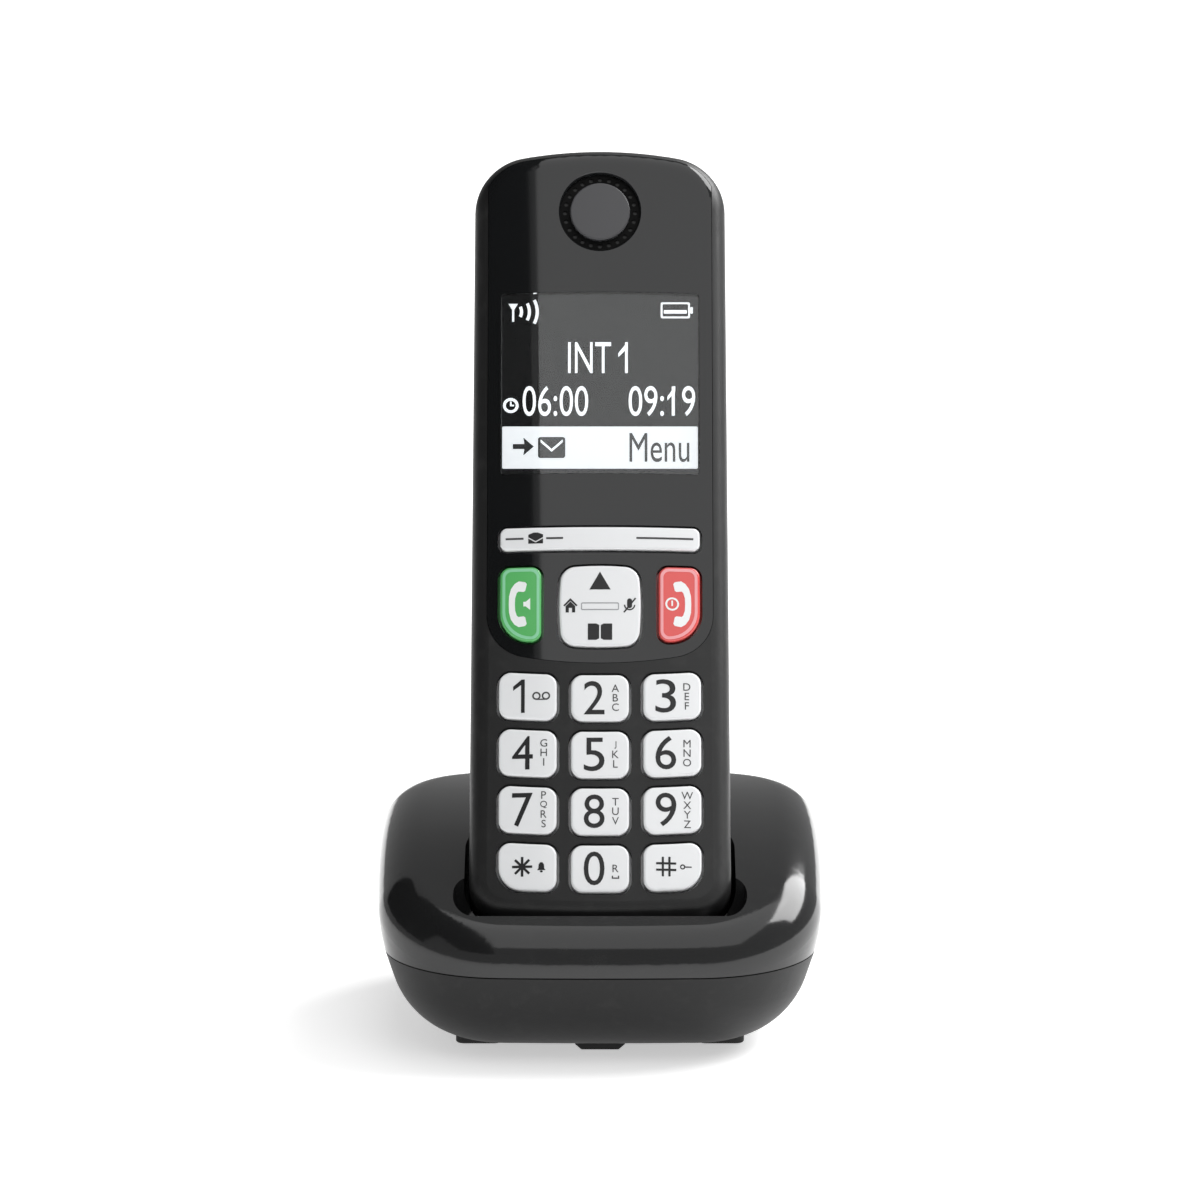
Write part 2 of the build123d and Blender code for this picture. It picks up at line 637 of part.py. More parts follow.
def make_earpiece(parts, outer):
    """Cap, slotted grille and speaker behind the round sound opening."""
    floor = FASCIA_THICKNESS + GLUE_GAP
    cap = across(EARPIECE_CAP_RADIUS, -5, floor, z=EARPIECE_CENTRE) & face_drum(0)
    cap = fillet(cap.faces().sort_by(Axis.Y)[0].edges(), 0.25)
    parts["earpiece_cap"] = cap
    grille = across(EARPIECE_RING_RADIUS - 0.02, floor, floor + 0.4 - 0.04, z=EARPIECE_CENTRE)
    reach = (EARPIECE_CAP_RADIUS + EARPIECE_RING_RADIUS) / 2
    for i in range(SOUND_HOLES):
        turn = 2 * math.pi * i / SOUND_HOLES
        x, z = reach * math.cos(turn), EARPIECE_CENTRE + reach * math.sin(turn)
        grille -= across(SOUND_HOLE_RADIUS, 0, 4, x, z)
    parts["earpiece_grille"] = grille
    start = SHELL_WALL + 0.5
    speaker = across(SPEAKER_RADIUS, start, start + SPEAKER_THICKNESS, z=EARPIECE_CENTRE)
    speaker -= across(SPEAKER_RADIUS - 1.2, start - 1, start + 0.5, z=EARPIECE_CENTRE)
    parts["earpiece_speaker"] = speaker


def make_key_parts(parts, keys):
    """Keycaps, the four-way key's pivot, the silicone mat and the switch domes."""
    for name, (outline, play) in keys.items():
        parts[name] = keycap(outline, play)
    pivot = Pos(0, PIVOT_DEPTH, NAV_CENTRE_Z)
    parts["key_nav"] -= pivot * Sphere(PIVOT_BALL_RADIUS + PIVOT_PLAY)
    parts["nav_pivot_ball"] = pivot * Sphere(PIVOT_BALL_RADIUS)

    places = dome_places()
    low = KEY_ROW_FOOT - KEY_HEIGHT / 2 - 0.6
    high = SOFT_KEY_CENTRE_Z + SOFT_KEY_HEIGHT / 2 + MAT_MARGIN
    sheet = rounded(2 * MAT_HALF_WIDTH, high - low, 3.0, z=(low + high) / 2)
    back = MAT_FRONT + MAT_THICKNESS
    mat = behind(sheet, MAT_FRONT, back)
    for x, z in places:
        mat += across(PLUNGER_RADIUS, back - EPS, BOARD_FRONT - DOME_HEIGHT - 0.03, x, z)
    for x in (-BOSS_X, BOSS_X):
        for z in BOSS_ZS:
            mat -= across(BOSS_RADIUS + 0.4, 0, 9, x, z)
    parts["key_mat"] = mat
    # each dome is pressed with sloping sides and a flat crown
    dome = Pos(0, -DOME_HEIGHT / 2, 0) * Rot(90, 0, 0) * Cone(DOME_RADIUS, DOME_CROWN_RADIUS, DOME_HEIGHT)
    parts["key_domes"] = [Pos(x, BOARD_FRONT, z) * dome for x, z in places]


def make_handset_electronics(parts):
    """Board and what stands on it, speakers, microphone, contacts and screws."""
    back = BOARD_FRONT + BOARD_THICKNESS
    board = handset_body(-SHELL_WALL - BOARD_MARGIN) & depth_slab(BOARD_FRONT, back)
    board &= block((-FAR, FAR), (-FAR, FAR), (PAD_RECESS + PAD_HEIGHT + 1.6, FAR))
    for x in (-BOSS_X, BOSS_X):
        for z in BOSS_ZS:
            board -= across(BOSS_RADIUS + 0.3, 0, 12, x, z)
    parts["handset_board"] = board

    can = block(
        (-CAN_WIDTH / 2, CAN_WIDTH / 2),
        (back, back + CAN_HEIGHT),
        (CAN_CENTRE_Z - CAN_LENGTH / 2, CAN_CENTRE_Z + CAN_LENGTH / 2),
    )
    can = fillet(can.faces().sort_by(Axis.Y)[-1].edges(), 0.4)
    inside = CAN_WIDTH / 2 - CAN_WALL
    can -= block(
        (-inside, inside),
        (back - 1, back + CAN_HEIGHT - CAN_WALL),
        (CAN_CENTRE_Z - CAN_LENGTH / 2 + CAN_WALL, CAN_CENTRE_Z + CAN_LENGTH / 2 - CAN_WALL),
    )
    parts["handset_radio_can"] = can

    strip = [(-15, 128), (-15, 146), (-6, 146), (-6, 143), (-12, 143), (-12, 128)]
    aerial = make_face(Polyline(*strip, close=True).edges())
    parts["handset_antenna"] = behind(aerial, back, back + 0.6)

    rear = back_depth(RINGER_CENTRE + RINGER_RADIUS) - SHELL_WALL - 0.6
    ringer = across(RINGER_RADIUS, rear - RINGER_THICKNESS, rear, z=RINGER_CENTRE)
    ringer += across(RINGER_RADIUS - 3, rear - RINGER_THICKNESS - 1.6, rear - 1, z=RINGER_CENTRE)
    ringer -= across(RINGER_RADIUS - 1.2, rear - 0.6, rear + 1, z=RINGER_CENTRE)
    parts["ringer_speaker"] = ringer

    low = SHELL_WALL + 0.15
    parts["microphone"] = upright(MICROPHONE_RADIUS, low, low + MICROPHONE_HEIGHT, y=PAD_Y - 0.2)
    parts["charge_pads"] = [pad_block(side) for side in (-1, 1)]

    screws = []
    seat = SHELL_SEAM - 1.6 + SCREW_LENGTH - 4.6
    for x in (-BOSS_X, BOSS_X):
        for z in BOSS_ZS:
            head = across(SCREW_HEAD_RADIUS, seat, seat + SCREW_HEAD_HEIGHT, x, z)
            head -= block((x - 1.2, x + 1.2), (seat + 0.6, seat + 9), (z - 0.25, z + 0.25))
            head -= block((x - 0.25, x + 0.25), (seat + 0.6, seat + 9), (z - 1.2, z + 1.2))
            screws.append(head + across(SCREW_RADIUS, seat - SCREW_LENGTH + 2, seat + EPS, x, z))
    parts["handset_screws"] = screws


def make_handset():
    """Every part of the handset, in the handset's own frame."""
    parts = {}
    outer, inner = handset_body(), handset_body(-SHELL_WALL)
    keys = all_key_outlines()
    make_handset_shells(parts, outer, inner, keys)
    make_battery_parts(parts, outer)
    make_display(parts, outer)
    make_earpiece(parts, outer)
    make_key_parts(parts, keys)
    make_handset_electronics(parts)
    return parts


# ================================================================ base: outer form
def plan(shrink, z):
    """Outline of the base at height z, narrower than the widest level by shrink."""
    w, d, bow = BASE_HALF_WIDTH - shrink, BASE_HALF_DEPTH - shrink, PLAN_BOW
    corners = [(-w + bow, -d + bow), (w - bow, -d + bow), (w - bow, d - bow), (-w + bow, d - bow)]
    bulges = [(0, -d), (w, 0), (0, d), (-w, 0)]
    sides = [ThreePointArc(corners[i], bulges[i], corners[(i + 1) % 4]) for i in range(4)]
    outline = make_face(sides)
    return Pos(0, 0, z) * fillet(outline.vertices(), PLAN_CORNER - shrink)


def top_drum(inset):
    """Everything below the base's cylindrical top face, lowered by inset."""
    return Pos(0, CREST_Y, CREST_Z - CREST_RADIUS) * Rot(Y=90) * Cylinder(CREST_RADIUS - inset, FAR)


def upper_body():
    """Top half of the base as one solid, from the seam up."""
    blank = loft([plan(SEAM_STEP_IN, SEAM_Z), plan(0, WIDEST_Z)], ruled=True)
    blank += extrude(plan(0, WIDEST_Z), amount=BLANK_TOP - WIDEST_Z)
    belt = [e for e in blank.edges() if abs(e.center().Z - WIDEST_Z) < EPS]
    body = fillet(belt, BELT_RADIUS) & top_drum(0)
    return fillet(body.faces().sort_by(Axis.Z)[-1].edges(), BASE_TOP_EDGE)


def upper_cavity(inset, low=SEAM_Z):
    """Straight-walled space inside the top half, its walls moved inwards by inset."""
    blank = extrude(plan(SEAM_STEP_IN + inset, low), amount=BLANK_TOP - low)
    body = blank & top_drum(inset)
    return fillet(body.faces().sort_by(Axis.Z)[-1].edges(), BASE_TOP_EDGE - inset)


def lower_body(inset=0.0, floor=BASE_BOTTOM, high=SEAM_Z):
    """Bottom half of the base as one solid, from its floor to the seam."""
    draft = math.tan(math.radians(BOWL_DRAFT))
    levels = [SEAM_STEP_IN + inset + (SEAM_Z - z) * draft for z in (floor, high)]
    bowl = loft([plan(levels[0], floor), plan(levels[1], high)], ruled=True)
    return fillet(bowl.faces().sort_by(Axis.Z)[0].edges(), BOWL_RADIUS - inset)


def lower_cavity(inset, high):
    """Space inside the bottom half, its walls moved inwards by inset."""
    return lower_body(inset, BASE_BOTTOM + inset, high)


def cradle_pocket(grow=0.0):
    """Space that the handset stands in, in the base's frame."""
    pocket = handset_body(CRADLE_GAP + grow)
    half = RELIEF_HALF_WIDTH + grow
    front, back = RELIEF_FRONT - grow, RELIEF_BACK + grow
    relief = Pos(0, (front + back) / 2) * RectangleRounded(2 * half, back - front, RELIEF_CORNER + grow)
    relief = Pos(0, 0, RELIEF_FLOOR - grow) * extrude(relief, amount=60)
    return HANDSET * (pocket + relief)


# ================================================================ base: parts
def pin_places():
    """Centre of each charging pin, in the handset's frame."""
    return [(side * PAD_X, PAD_Y) for side in (-1, 1)]


def make_base_shells(parts):
    """Top shell with its cradle, and the bowl-shaped bottom shell."""
    outer = upper_body()
    top = outer - upper_cavity(BASE_WALL, SEAM_Z - EPS)
    roomy = upper_cavity(BASE_WALL / 2, SEAM_Z) + lower_cavity(BASE_WALL + 1.5, SEAM_Z + EPS)
    top += cradle_pocket(CRADLE_WALL) & roomy
    for x in (-POST_X, POST_X):
        for y in POST_YS:
            top += upright(POST_RADIUS, POST_JOIN + 0.1, 60, x, y) & roomy
    gap = BASE_WALL + TONGUE_PLAY + TONGUE_DEPTH * math.tan(math.radians(BOWL_DRAFT))
    ring = plan(SEAM_STEP_IN + gap, SEAM_Z - TONGUE_DEPTH)
    ring -= plan(SEAM_STEP_IN + gap + TONGUE_WALL, SEAM_Z - TONGUE_DEPTH)
    top += extrude(ring, amount=TONGUE_DEPTH + 2.5)
    shelf = plan(SEAM_STEP_IN + BASE_WALL / 2, SEAM_Z + 1.0)
    shelf -= plan(SEAM_STEP_IN + gap + TONGUE_WALL, SEAM_Z + 1.0)
    top += extrude(shelf, amount=1.5)
    top -= cradle_pocket()
    for x in (-POST_X, POST_X):
        for y in POST_YS:
            top -= upright(BASE_SCREW_RADIUS + 0.02, 0, POST_JOIN + 5.5, x, y)
    for x, y in pin_places():
        top -= HANDSET * upright(PIN_HOLE_RADIUS, -12, 0, x, y)
    parts["base_top_shell"] = top

    bottom = lower_body(high=SEAM_Z - BASE_SEAM_GAP) - lower_cavity(BASE_WALL, SEAM_Z)
    floor = BASE_BOTTOM
    for x in (-POST_X, POST_X):
        for y in POST_YS:
            bottom += upright(POST_RADIUS + 0.6, floor + 1, POST_JOIN, x, y)
            bottom -= upright(BASE_SCREW_HOLE_RADIUS, 0, 20, x, y)
            bottom -= upright(BASE_SCREW_HEAD_RADIUS + 0.3, 0, floor + 3.4, x, y)
    for x in (-FOOT_X, FOOT_X):
        for y in FOOT_YS:
            bottom += foot_pad(x, y, 0.0, floor + PAD_SEAT + 1.4, 1.2) & lower_body(0.4)
            bottom -= foot_pad(x, y, -1.0, floor + PAD_SEAT, 0.1)
    for x, y, z in socket_boxes(PORT_PLAY):
        bottom -= block(x, (y[0], 60), z)
    half = PAGING_HALF_WIDTH + PAGING_PLAY
    span = (PAGING_FRONT - PAGING_PLAY, PAGING_BACK + PAGING_PLAY)
    bottom -= block((-half, half), span, (-1, floor + 11))
    for x in (-RIB_X, RIB_X):
        wide = (x - RIB_THICKNESS / 2, x + RIB_THICKNESS / 2)
        bottom += block(wide, (BASE_BOARD_FRONT + 1, BASE_BOARD_BACK - 12), (floor + 1, BASE_BOARD_Z))
    parts["base_bottom_shell"] = bottom


def foot_pad(x, y, low, high, grow=0.0):
    """Rounded pad on the underside of the base."""
    size = (2 * (PAD_HALF_X + grow), 2 * (PAD_HALF_Y + grow))
    return Pos(x, y, low) * extrude(RectangleRounded(*size, PAD_ROUND + grow), amount=high - low)


def socket_boxes(play=0.0):
    """Outer box of the line socket and of the power socket."""
    low = BASE_BOARD_Z + BASE_BOARD_THICKNESS
    boxes = []
    for x in (-SOCKET_X, SOCKET_X):
        half = SOCKET_WIDTH / 2 + play
        span = (SOCKET_FACE_Y - SOCKET_DEPTH, SOCKET_FACE_Y)
        boxes.append(((x - half, x + half), span, (low - play, low + SOCKET_HEIGHT + play)))
    return boxes


def make_base_inside(parts):
    """Board, sockets, charging contacts, paging key, feet and screws."""
    low, high = BASE_BOARD_Z, BASE_BOARD_Z + BASE_BOARD_THICKNESS
    board = block(
        (-BASE_BOARD_HALF_WIDTH, BASE_BOARD_HALF_WIDTH), (BASE_BOARD_FRONT, BASE_BOARD_BACK), (low, high)
    )
    board += block(
        (-BASE_BOARD_TONGUE_HALF_WIDTH, BASE_BOARD_TONGUE_HALF_WIDTH),
        (BASE_BOARD_TONGUE_FRONT, BASE_BOARD_FRONT + EPS),
        (low, high),
    )
    parts["base_board"] = board

    names = (("line_socket", LINE_PLUG_WIDTH), ("power_socket", POWER_PLUG_WIDTH))
    for (name, width), (x, y, z) in zip(names, socket_boxes()):
        body = block(x, y, z)
        middle = (x[0] + x[1]) / 2
        centre = (z[0] + z[1]) / 2
        half, tall = width / 2, SOCKET_CAVITY_HEIGHT / 2
        reach = (y[1] - SOCKET_CAVITY_DEPTH, y[1] + 1)
        body -= block((middle - half, middle + half), reach, (centre - tall, centre + tall))
        parts[name] = body

    for name, (x, y) in zip(("left", "right"), pin_places()):
        tip = PAD_RECESS - PIN_TIP_GAP
        under = -CRADLE_GAP - CRADLE_WALL
        pin = upright(PIN_RADIUS, under - PIN_COLLAR - 0.4, tip, x, y)
        pin = fillet(pin.edges().sort_by(Axis.Z)[-1], 0.5)
        pin += upright(PIN_COLLAR_RADIUS, under - PIN_COLLAR - 0.1, under - 0.1, x, y)
        parts["charge_pin_" + name] = HANDSET * pin
    under = -CRADLE_GAP - CRADLE_WALL - 0.1
    carrier = block(
        (-PAD_X - 4, PAD_X + 4), (PAD_Y - 3, PAD_Y + 3), (under - BLOCK_HEIGHT, under - 0.05)
    )
    springs = []
    spring_top = under - PIN_COLLAR - 0.05
    spring_low = under - BLOCK_HEIGHT + BLOCK_WALL
    for x, y in pin_places():
        carrier -= upright(PIN_COLLAR_RADIUS + 0.25, spring_low - 0.05, under + 1, x, y)
        wire = coil(1.35, PIN_SPRING_WIRE, 4, spring_top - spring_low)
        springs.append(HANDSET * Pos(x, y, spring_low) * wire)
    parts["charge_pin_carrier"] = HANDSET * carrier
    parts["charge_pin_springs"] = springs

    key = block(
        (-PAGING_HALF_WIDTH, PAGING_HALF_WIDTH),
        (PAGING_FRONT, PAGING_BACK),
        (PAGING_FLARE_Z, PAGING_TOP_Z),
    )
    root = Pos(0, (PAGING_FRONT + PAGING_BACK) / 2, PAGING_FLARE_Z) * Rectangle(
        2 * PAGING_HALF_WIDTH, PAGING_BACK - PAGING_FRONT
    )
    tip = Pos(0, (PAGING_FRONT + PAGING_BACK) / 2, PAGING_TIP_Z) * Rectangle(
        2 * PAGING_TIP_HALF_WIDTH, PAGING_BACK - PAGING_FRONT - 0.8
    )
    parts["paging_key"] = key + loft([tip, root])
    half = SWITCH_SIZE / 2
    middle = (PAGING_FRONT + PAGING_BACK) / 2
    press = PAGING_TOP_Z + PAGING_TRAVEL + 0.1
    switch = block((-half, half), (middle - half, middle + half), (press + 0.5, low))
    parts["paging_switch"] = switch + upright(1.0, press, press + 0.6, y=middle)

    can = block((-8, 8), (-8.5, 6.5), (high, high + 2.0))
    can = fillet(can.faces().sort_by(Axis.Z)[-1].edges(), 0.4)
    can -= block((-8 + CAN_WALL, 8 - CAN_WALL), (-8.2, 6.2), (high - 1, high + 2.0 - CAN_WALL))
    parts["base_radio_can"] = can
    parts["base_capacitor"] = upright(3.1, high, high + 7.5, 0.0, 12.5)

    blades = []
    for side in (-1, 1):
        x = side * (BASE_BOARD_HALF_WIDTH - 1.5)
        blades.append(block((x - 0.3, x + 0.3), (-1, 13), (high, high + 3.2)))
    parts["base_antennas"] = blades

    for side, x in (("left", -FOOT_X), ("right", FOOT_X)):
        for end, y in zip(("front", "rear"), FOOT_YS):
            pad = foot_pad(x, y, 0.0, BASE_BOTTOM + PAD_SEAT)
            pad = fillet(pad.faces().sort_by(Axis.Z)[0].edges(), 0.4)
            parts[f"foot_{end}_{side}"] = pad

    screws = []
    seat = BASE_BOTTOM + 3.4
    for x in (-POST_X, POST_X):
        for y in POST_YS:
            head = upright(BASE_SCREW_HEAD_RADIUS, seat - BASE_SCREW_HEAD_HEIGHT, seat, x, y)
            head -= block((x - 1.5, x + 1.5), (y - 0.3, y + 0.3), (0, seat - 0.8))
            head -= block((x - 0.3, x + 0.3), (y - 1.5, y + 1.5), (0, seat - 0.8))
            screws.append(head + upright(BASE_SCREW_RADIUS, seat - EPS, seat + BASE_SCREW_LENGTH, x, y))
    parts["base_screws"] = screws


def make_base():
    """Every part of the base, in the base's own frame."""
    parts = {}
    make_base_shells(parts)
    make_base_inside(parts)
    return parts


# ================================================================ assembly
def as_compound(shape):
    """One shape for a node, from a solid or a list of separate solids."""
    if isinstance(shape, list):
        return Compound([s.solid() for s in shape])
    return shape


def main():
    """Builds both halves, centres the whole on the table and writes one STEP per node."""
    parts = {name: HANDSET * as_compound(s) for name, s in make_handset().items()}
    parts.update({name: as_compound(s) for name, s in make_base().items()})
    boxes = [shape.bounding_box() for shape in parts.values()]
    middle = (min(b.min.Y for b in boxes) + max(b.max.Y for b in boxes)) / 2
    os.makedirs("parts", exist_ok=True)
    for name, shape in parts.items():
        export_step(Pos(0, -middle, 0) * shape, f"parts/{name}.step")
    print("nodes", len(parts), "shifted along Y by", round(-middle, 4))


if __name__ == "__main__":
    main()
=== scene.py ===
"""Looks of a cordless telephone standing in its charging base."""

import json
import logging
import math
from dataclasses import dataclass, field
from enum import Enum

import bpy
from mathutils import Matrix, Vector
from mathutils.bvhtree import BVHTree


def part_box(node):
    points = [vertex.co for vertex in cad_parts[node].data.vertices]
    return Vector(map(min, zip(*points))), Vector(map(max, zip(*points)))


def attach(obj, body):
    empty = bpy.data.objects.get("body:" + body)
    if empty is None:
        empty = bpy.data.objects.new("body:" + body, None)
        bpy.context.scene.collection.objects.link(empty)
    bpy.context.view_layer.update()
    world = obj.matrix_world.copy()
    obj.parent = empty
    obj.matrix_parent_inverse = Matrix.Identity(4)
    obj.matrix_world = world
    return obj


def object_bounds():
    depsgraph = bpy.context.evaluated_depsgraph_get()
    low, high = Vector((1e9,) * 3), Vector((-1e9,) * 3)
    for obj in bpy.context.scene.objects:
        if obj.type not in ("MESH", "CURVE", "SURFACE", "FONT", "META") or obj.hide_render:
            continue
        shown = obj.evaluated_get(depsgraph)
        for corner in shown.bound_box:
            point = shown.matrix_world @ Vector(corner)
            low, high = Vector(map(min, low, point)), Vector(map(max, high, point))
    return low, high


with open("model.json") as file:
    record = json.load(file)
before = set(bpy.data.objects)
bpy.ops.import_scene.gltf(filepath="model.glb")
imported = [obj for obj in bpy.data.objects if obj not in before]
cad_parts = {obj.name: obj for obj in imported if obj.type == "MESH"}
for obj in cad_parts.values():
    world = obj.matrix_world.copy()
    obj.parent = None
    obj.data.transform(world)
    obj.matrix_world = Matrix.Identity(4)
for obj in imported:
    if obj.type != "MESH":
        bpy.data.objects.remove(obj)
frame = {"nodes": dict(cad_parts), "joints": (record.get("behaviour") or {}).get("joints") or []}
CAD_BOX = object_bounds()
LOG = logging.getLogger("telephone")

MM = 0.001
RGB = tuple[float, float, float]
Point = tuple[float, float]


class Side(Enum):
    """Which way a call key faces."""

    LEFT = -1
    RIGHT = 1


# ------------------------------------------------------------------ shader groups
class SurfaceGroups:
    """Node groups that the finishes share, each built once."""

    _made: dict[str, bpy.types.ShaderNodeTree] = {}

    @classmethod
    def moulding(cls) -> bpy.types.ShaderNodeTree:
        """Moulded or lacquered surface: mottled colour, uneven gloss and a fine grain.

        Returns:
            The node group, with Colour, Roughness and Height outputs.
        """
        if "moulding" in cls._made:
            return cls._made["moulding"]
        tree = bpy.data.node_groups.new("moulding", "ShaderNodeTree")
        for name, kind, value in (
            ("Colour", "NodeSocketColor", (0.5, 0.5, 0.5, 1)),
            ("Roughness", "NodeSocketFloat", 0.4),
            ("Grain Scale", "NodeSocketFloat", 4000.0),
            ("Mottle", "NodeSocketFloat", 0.1),
            ("Unevenness", "NodeSocketFloat", 0.1),
            ("Dust", "NodeSocketFloat", 0.0),
        ):
            socket = tree.interface.new_socket(name, in_out="INPUT", socket_type=kind)
            socket.default_value = value
        for name, kind in (
            ("Colour", "NodeSocketColor"),
            ("Roughness", "NodeSocketFloat"),
            ("Height", "NodeSocketFloat"),
        ):
            tree.interface.new_socket(name, in_out="OUTPUT", socket_type=kind)
        nodes, links = tree.nodes, tree.links
        source = nodes.new("NodeGroupInput")
        sink = nodes.new("NodeGroupOutput")
        place = nodes.new("ShaderNodeTexCoord")

        def noise(scale: float, detail: float) -> bpy.types.Node:
            """Noise texture in the object's own space."""
            node = nodes.new("ShaderNodeTexNoise")
            node.inputs["Scale"].default_value = scale
            node.inputs["Detail"].default_value = detail
            links.new(place.outputs["Object"], node.inputs["Vector"])
            return node

        def spread(node: bpy.types.Node, amount: bpy.types.NodeSocket) -> bpy.types.Node:
            """Noise moved to run from minus to plus half of amount."""
            centred = nodes.new("ShaderNodeMath")
            centred.operation = "SUBTRACT"
            centred.inputs[1].default_value = 0.5
            links.new(node.outputs["Fac"], centred.inputs[0])
            scaled = nodes.new("ShaderNodeMath")
            scaled.operation = "MULTIPLY"
            links.new(centred.outputs[0], scaled.inputs[0])
            links.new(amount, scaled.inputs[1])
            return scaled

        cloud = spread(noise(90.0, 4.0), source.outputs["Mottle"])
        lift = nodes.new("ShaderNodeMath")
        lift.inputs[1].default_value = 1.0
        links.new(cloud.outputs[0], lift.inputs[0])
        shade = nodes.new("ShaderNodeHueSaturation")
        links.new(source.outputs["Colour"], shade.inputs["Color"])
        links.new(lift.outputs[0], shade.inputs["Value"])
        dust_noise = noise(260.0, 8.0)
        dust_ramp = nodes.new("ShaderNodeMapRange")
        dust_ramp.inputs["From Min"].default_value = 0.55
        dust_ramp.inputs["From Max"].default_value = 0.8
        links.new(dust_noise.outputs["Fac"], dust_ramp.inputs["Value"])
        dust = nodes.new("ShaderNodeMath")
        dust.operation = "MULTIPLY"
        links.new(dust_ramp.outputs["Result"], dust.inputs[0])
        links.new(source.outputs["Dust"], dust.inputs[1])
        veil = nodes.new("ShaderNodeMix")
        veil.data_type = "RGBA"
        veil.inputs["B"].default_value = (0.35, 0.34, 0.33, 1)
        links.new(dust.outputs[0], veil.inputs["Factor"])
        links.new(shade.outputs["Color"], veil.inputs["A"])
        links.new(veil.outputs["Result"], sink.inputs["Colour"])
        haze = spread(noise(35.0, 3.0), source.outputs["Unevenness"])
        total = nodes.new("ShaderNodeMath")
        links.new(source.outputs["Roughness"], total.inputs[0])
        links.new(haze.outputs[0], total.inputs[1])
        dusty = nodes.new("ShaderNodeMath")
        dusty.use_clamp = True
        links.new(total.outputs[0], dusty.inputs[0])
        links.new(dust.outputs[0], dusty.inputs[1])
        links.new(dusty.outputs[0], sink.inputs["Roughness"])
        grain = nodes.new("ShaderNodeTexNoise")
        grain.inputs["Detail"].default_value = 2.0
        links.new(place.outputs["Object"], grain.inputs["Vector"])
        links.new(source.outputs["Grain Scale"], grain.inputs["Scale"])
        links.new(grain.outputs["Fac"], sink.inputs["Height"])
        cls._made["moulding"] = tree
        return tree


# ------------------------------------------------------------------ finishes
@dataclass(frozen=True)
class Finish:
    """A surface finish that turns into one procedural material.

    Args:
        name: Material name.
        colour: Base colour, linear.
        roughness: Mean roughness.
        metallic: 1 for bare or plated metal.
        coat: Weight of a clear lacquer.
        grain_scale: Grain size, as a noise scale.
        grain: Bump distance of the grain, in millimetres.
        mottle: How much the colour's brightness wanders.
        unevenness: How much the roughness wanders.
        dust: How much fine dust lies on it.
        glow: Emission strength.
        glow_colour: Emission colour.
        transmission: 1 for clear glass or acrylic.
        specular: Specular level.
    """

    name: str
    colour: RGB
    roughness: float = 0.4
    metallic: float = 0.0
    coat: float = 0.0
    grain_scale: float = 3000.0
    grain: float = 0.02
    mottle: float = 0.12
    unevenness: float = 0.06
    dust: float = 0.0
    glow: float = 0.0
    glow_colour: RGB = (1.0, 1.0, 1.0)
    transmission: float = 0.0
    specular: float = 0.5

    def material(self) -> bpy.types.Material:
        """Builds the material once, then hands out the same one.

        Returns:
            The material.
        """
        found = bpy.data.materials.get(self.name)
        if found is not None:
            return found
        material = bpy.data.materials.new(self.name)
        material.use_nodes = True
        nodes, links = material.node_tree.nodes, material.node_tree.links
        shader = nodes["Principled BSDF"]
        shader.inputs["Metallic"].default_value = self.metallic
        shader.inputs["Coat Weight"].default_value = self.coat
        shader.inputs["Coat Roughness"].default_value = 0.06
        shader.inputs["Transmission Weight"].default_value = self.transmission
        shader.inputs["Specular IOR Level"].default_value = self.specular
        shader.inputs["Emission Color"].default_value = (*self.glow_colour, 1)
        shader.inputs["Emission Strength"].default_value = self.glow
        group = nodes.new("ShaderNodeGroup")
        group.node_tree = SurfaceGroups.moulding()
        group.inputs["Colour"].default_value = (*self.colour, 1)
        group.inputs["Roughness"].default_value = self.roughness
        group.inputs["Grain Scale"].default_value = self.grain_scale
        group.inputs["Mottle"].default_value = self.mottle
        group.inputs["Unevenness"].default_value = self.unevenness
        group.inputs["Dust"].default_value = self.dust
        links.new(group.outputs["Colour"], shader.inputs["Base Color"])
        links.new(group.outputs["Roughness"], shader.inputs["Roughness"])
        bump = nodes.new("ShaderNodeBump")
        bump.inputs["Strength"].default_value = 1.0
        bump.inputs["Distance"].default_value = self.grain * MM
        links.new(group.outputs["Height"], bump.inputs["Height"])
        links.new(bump.outputs["Normal"], shader.inputs["Normal"])
        return material


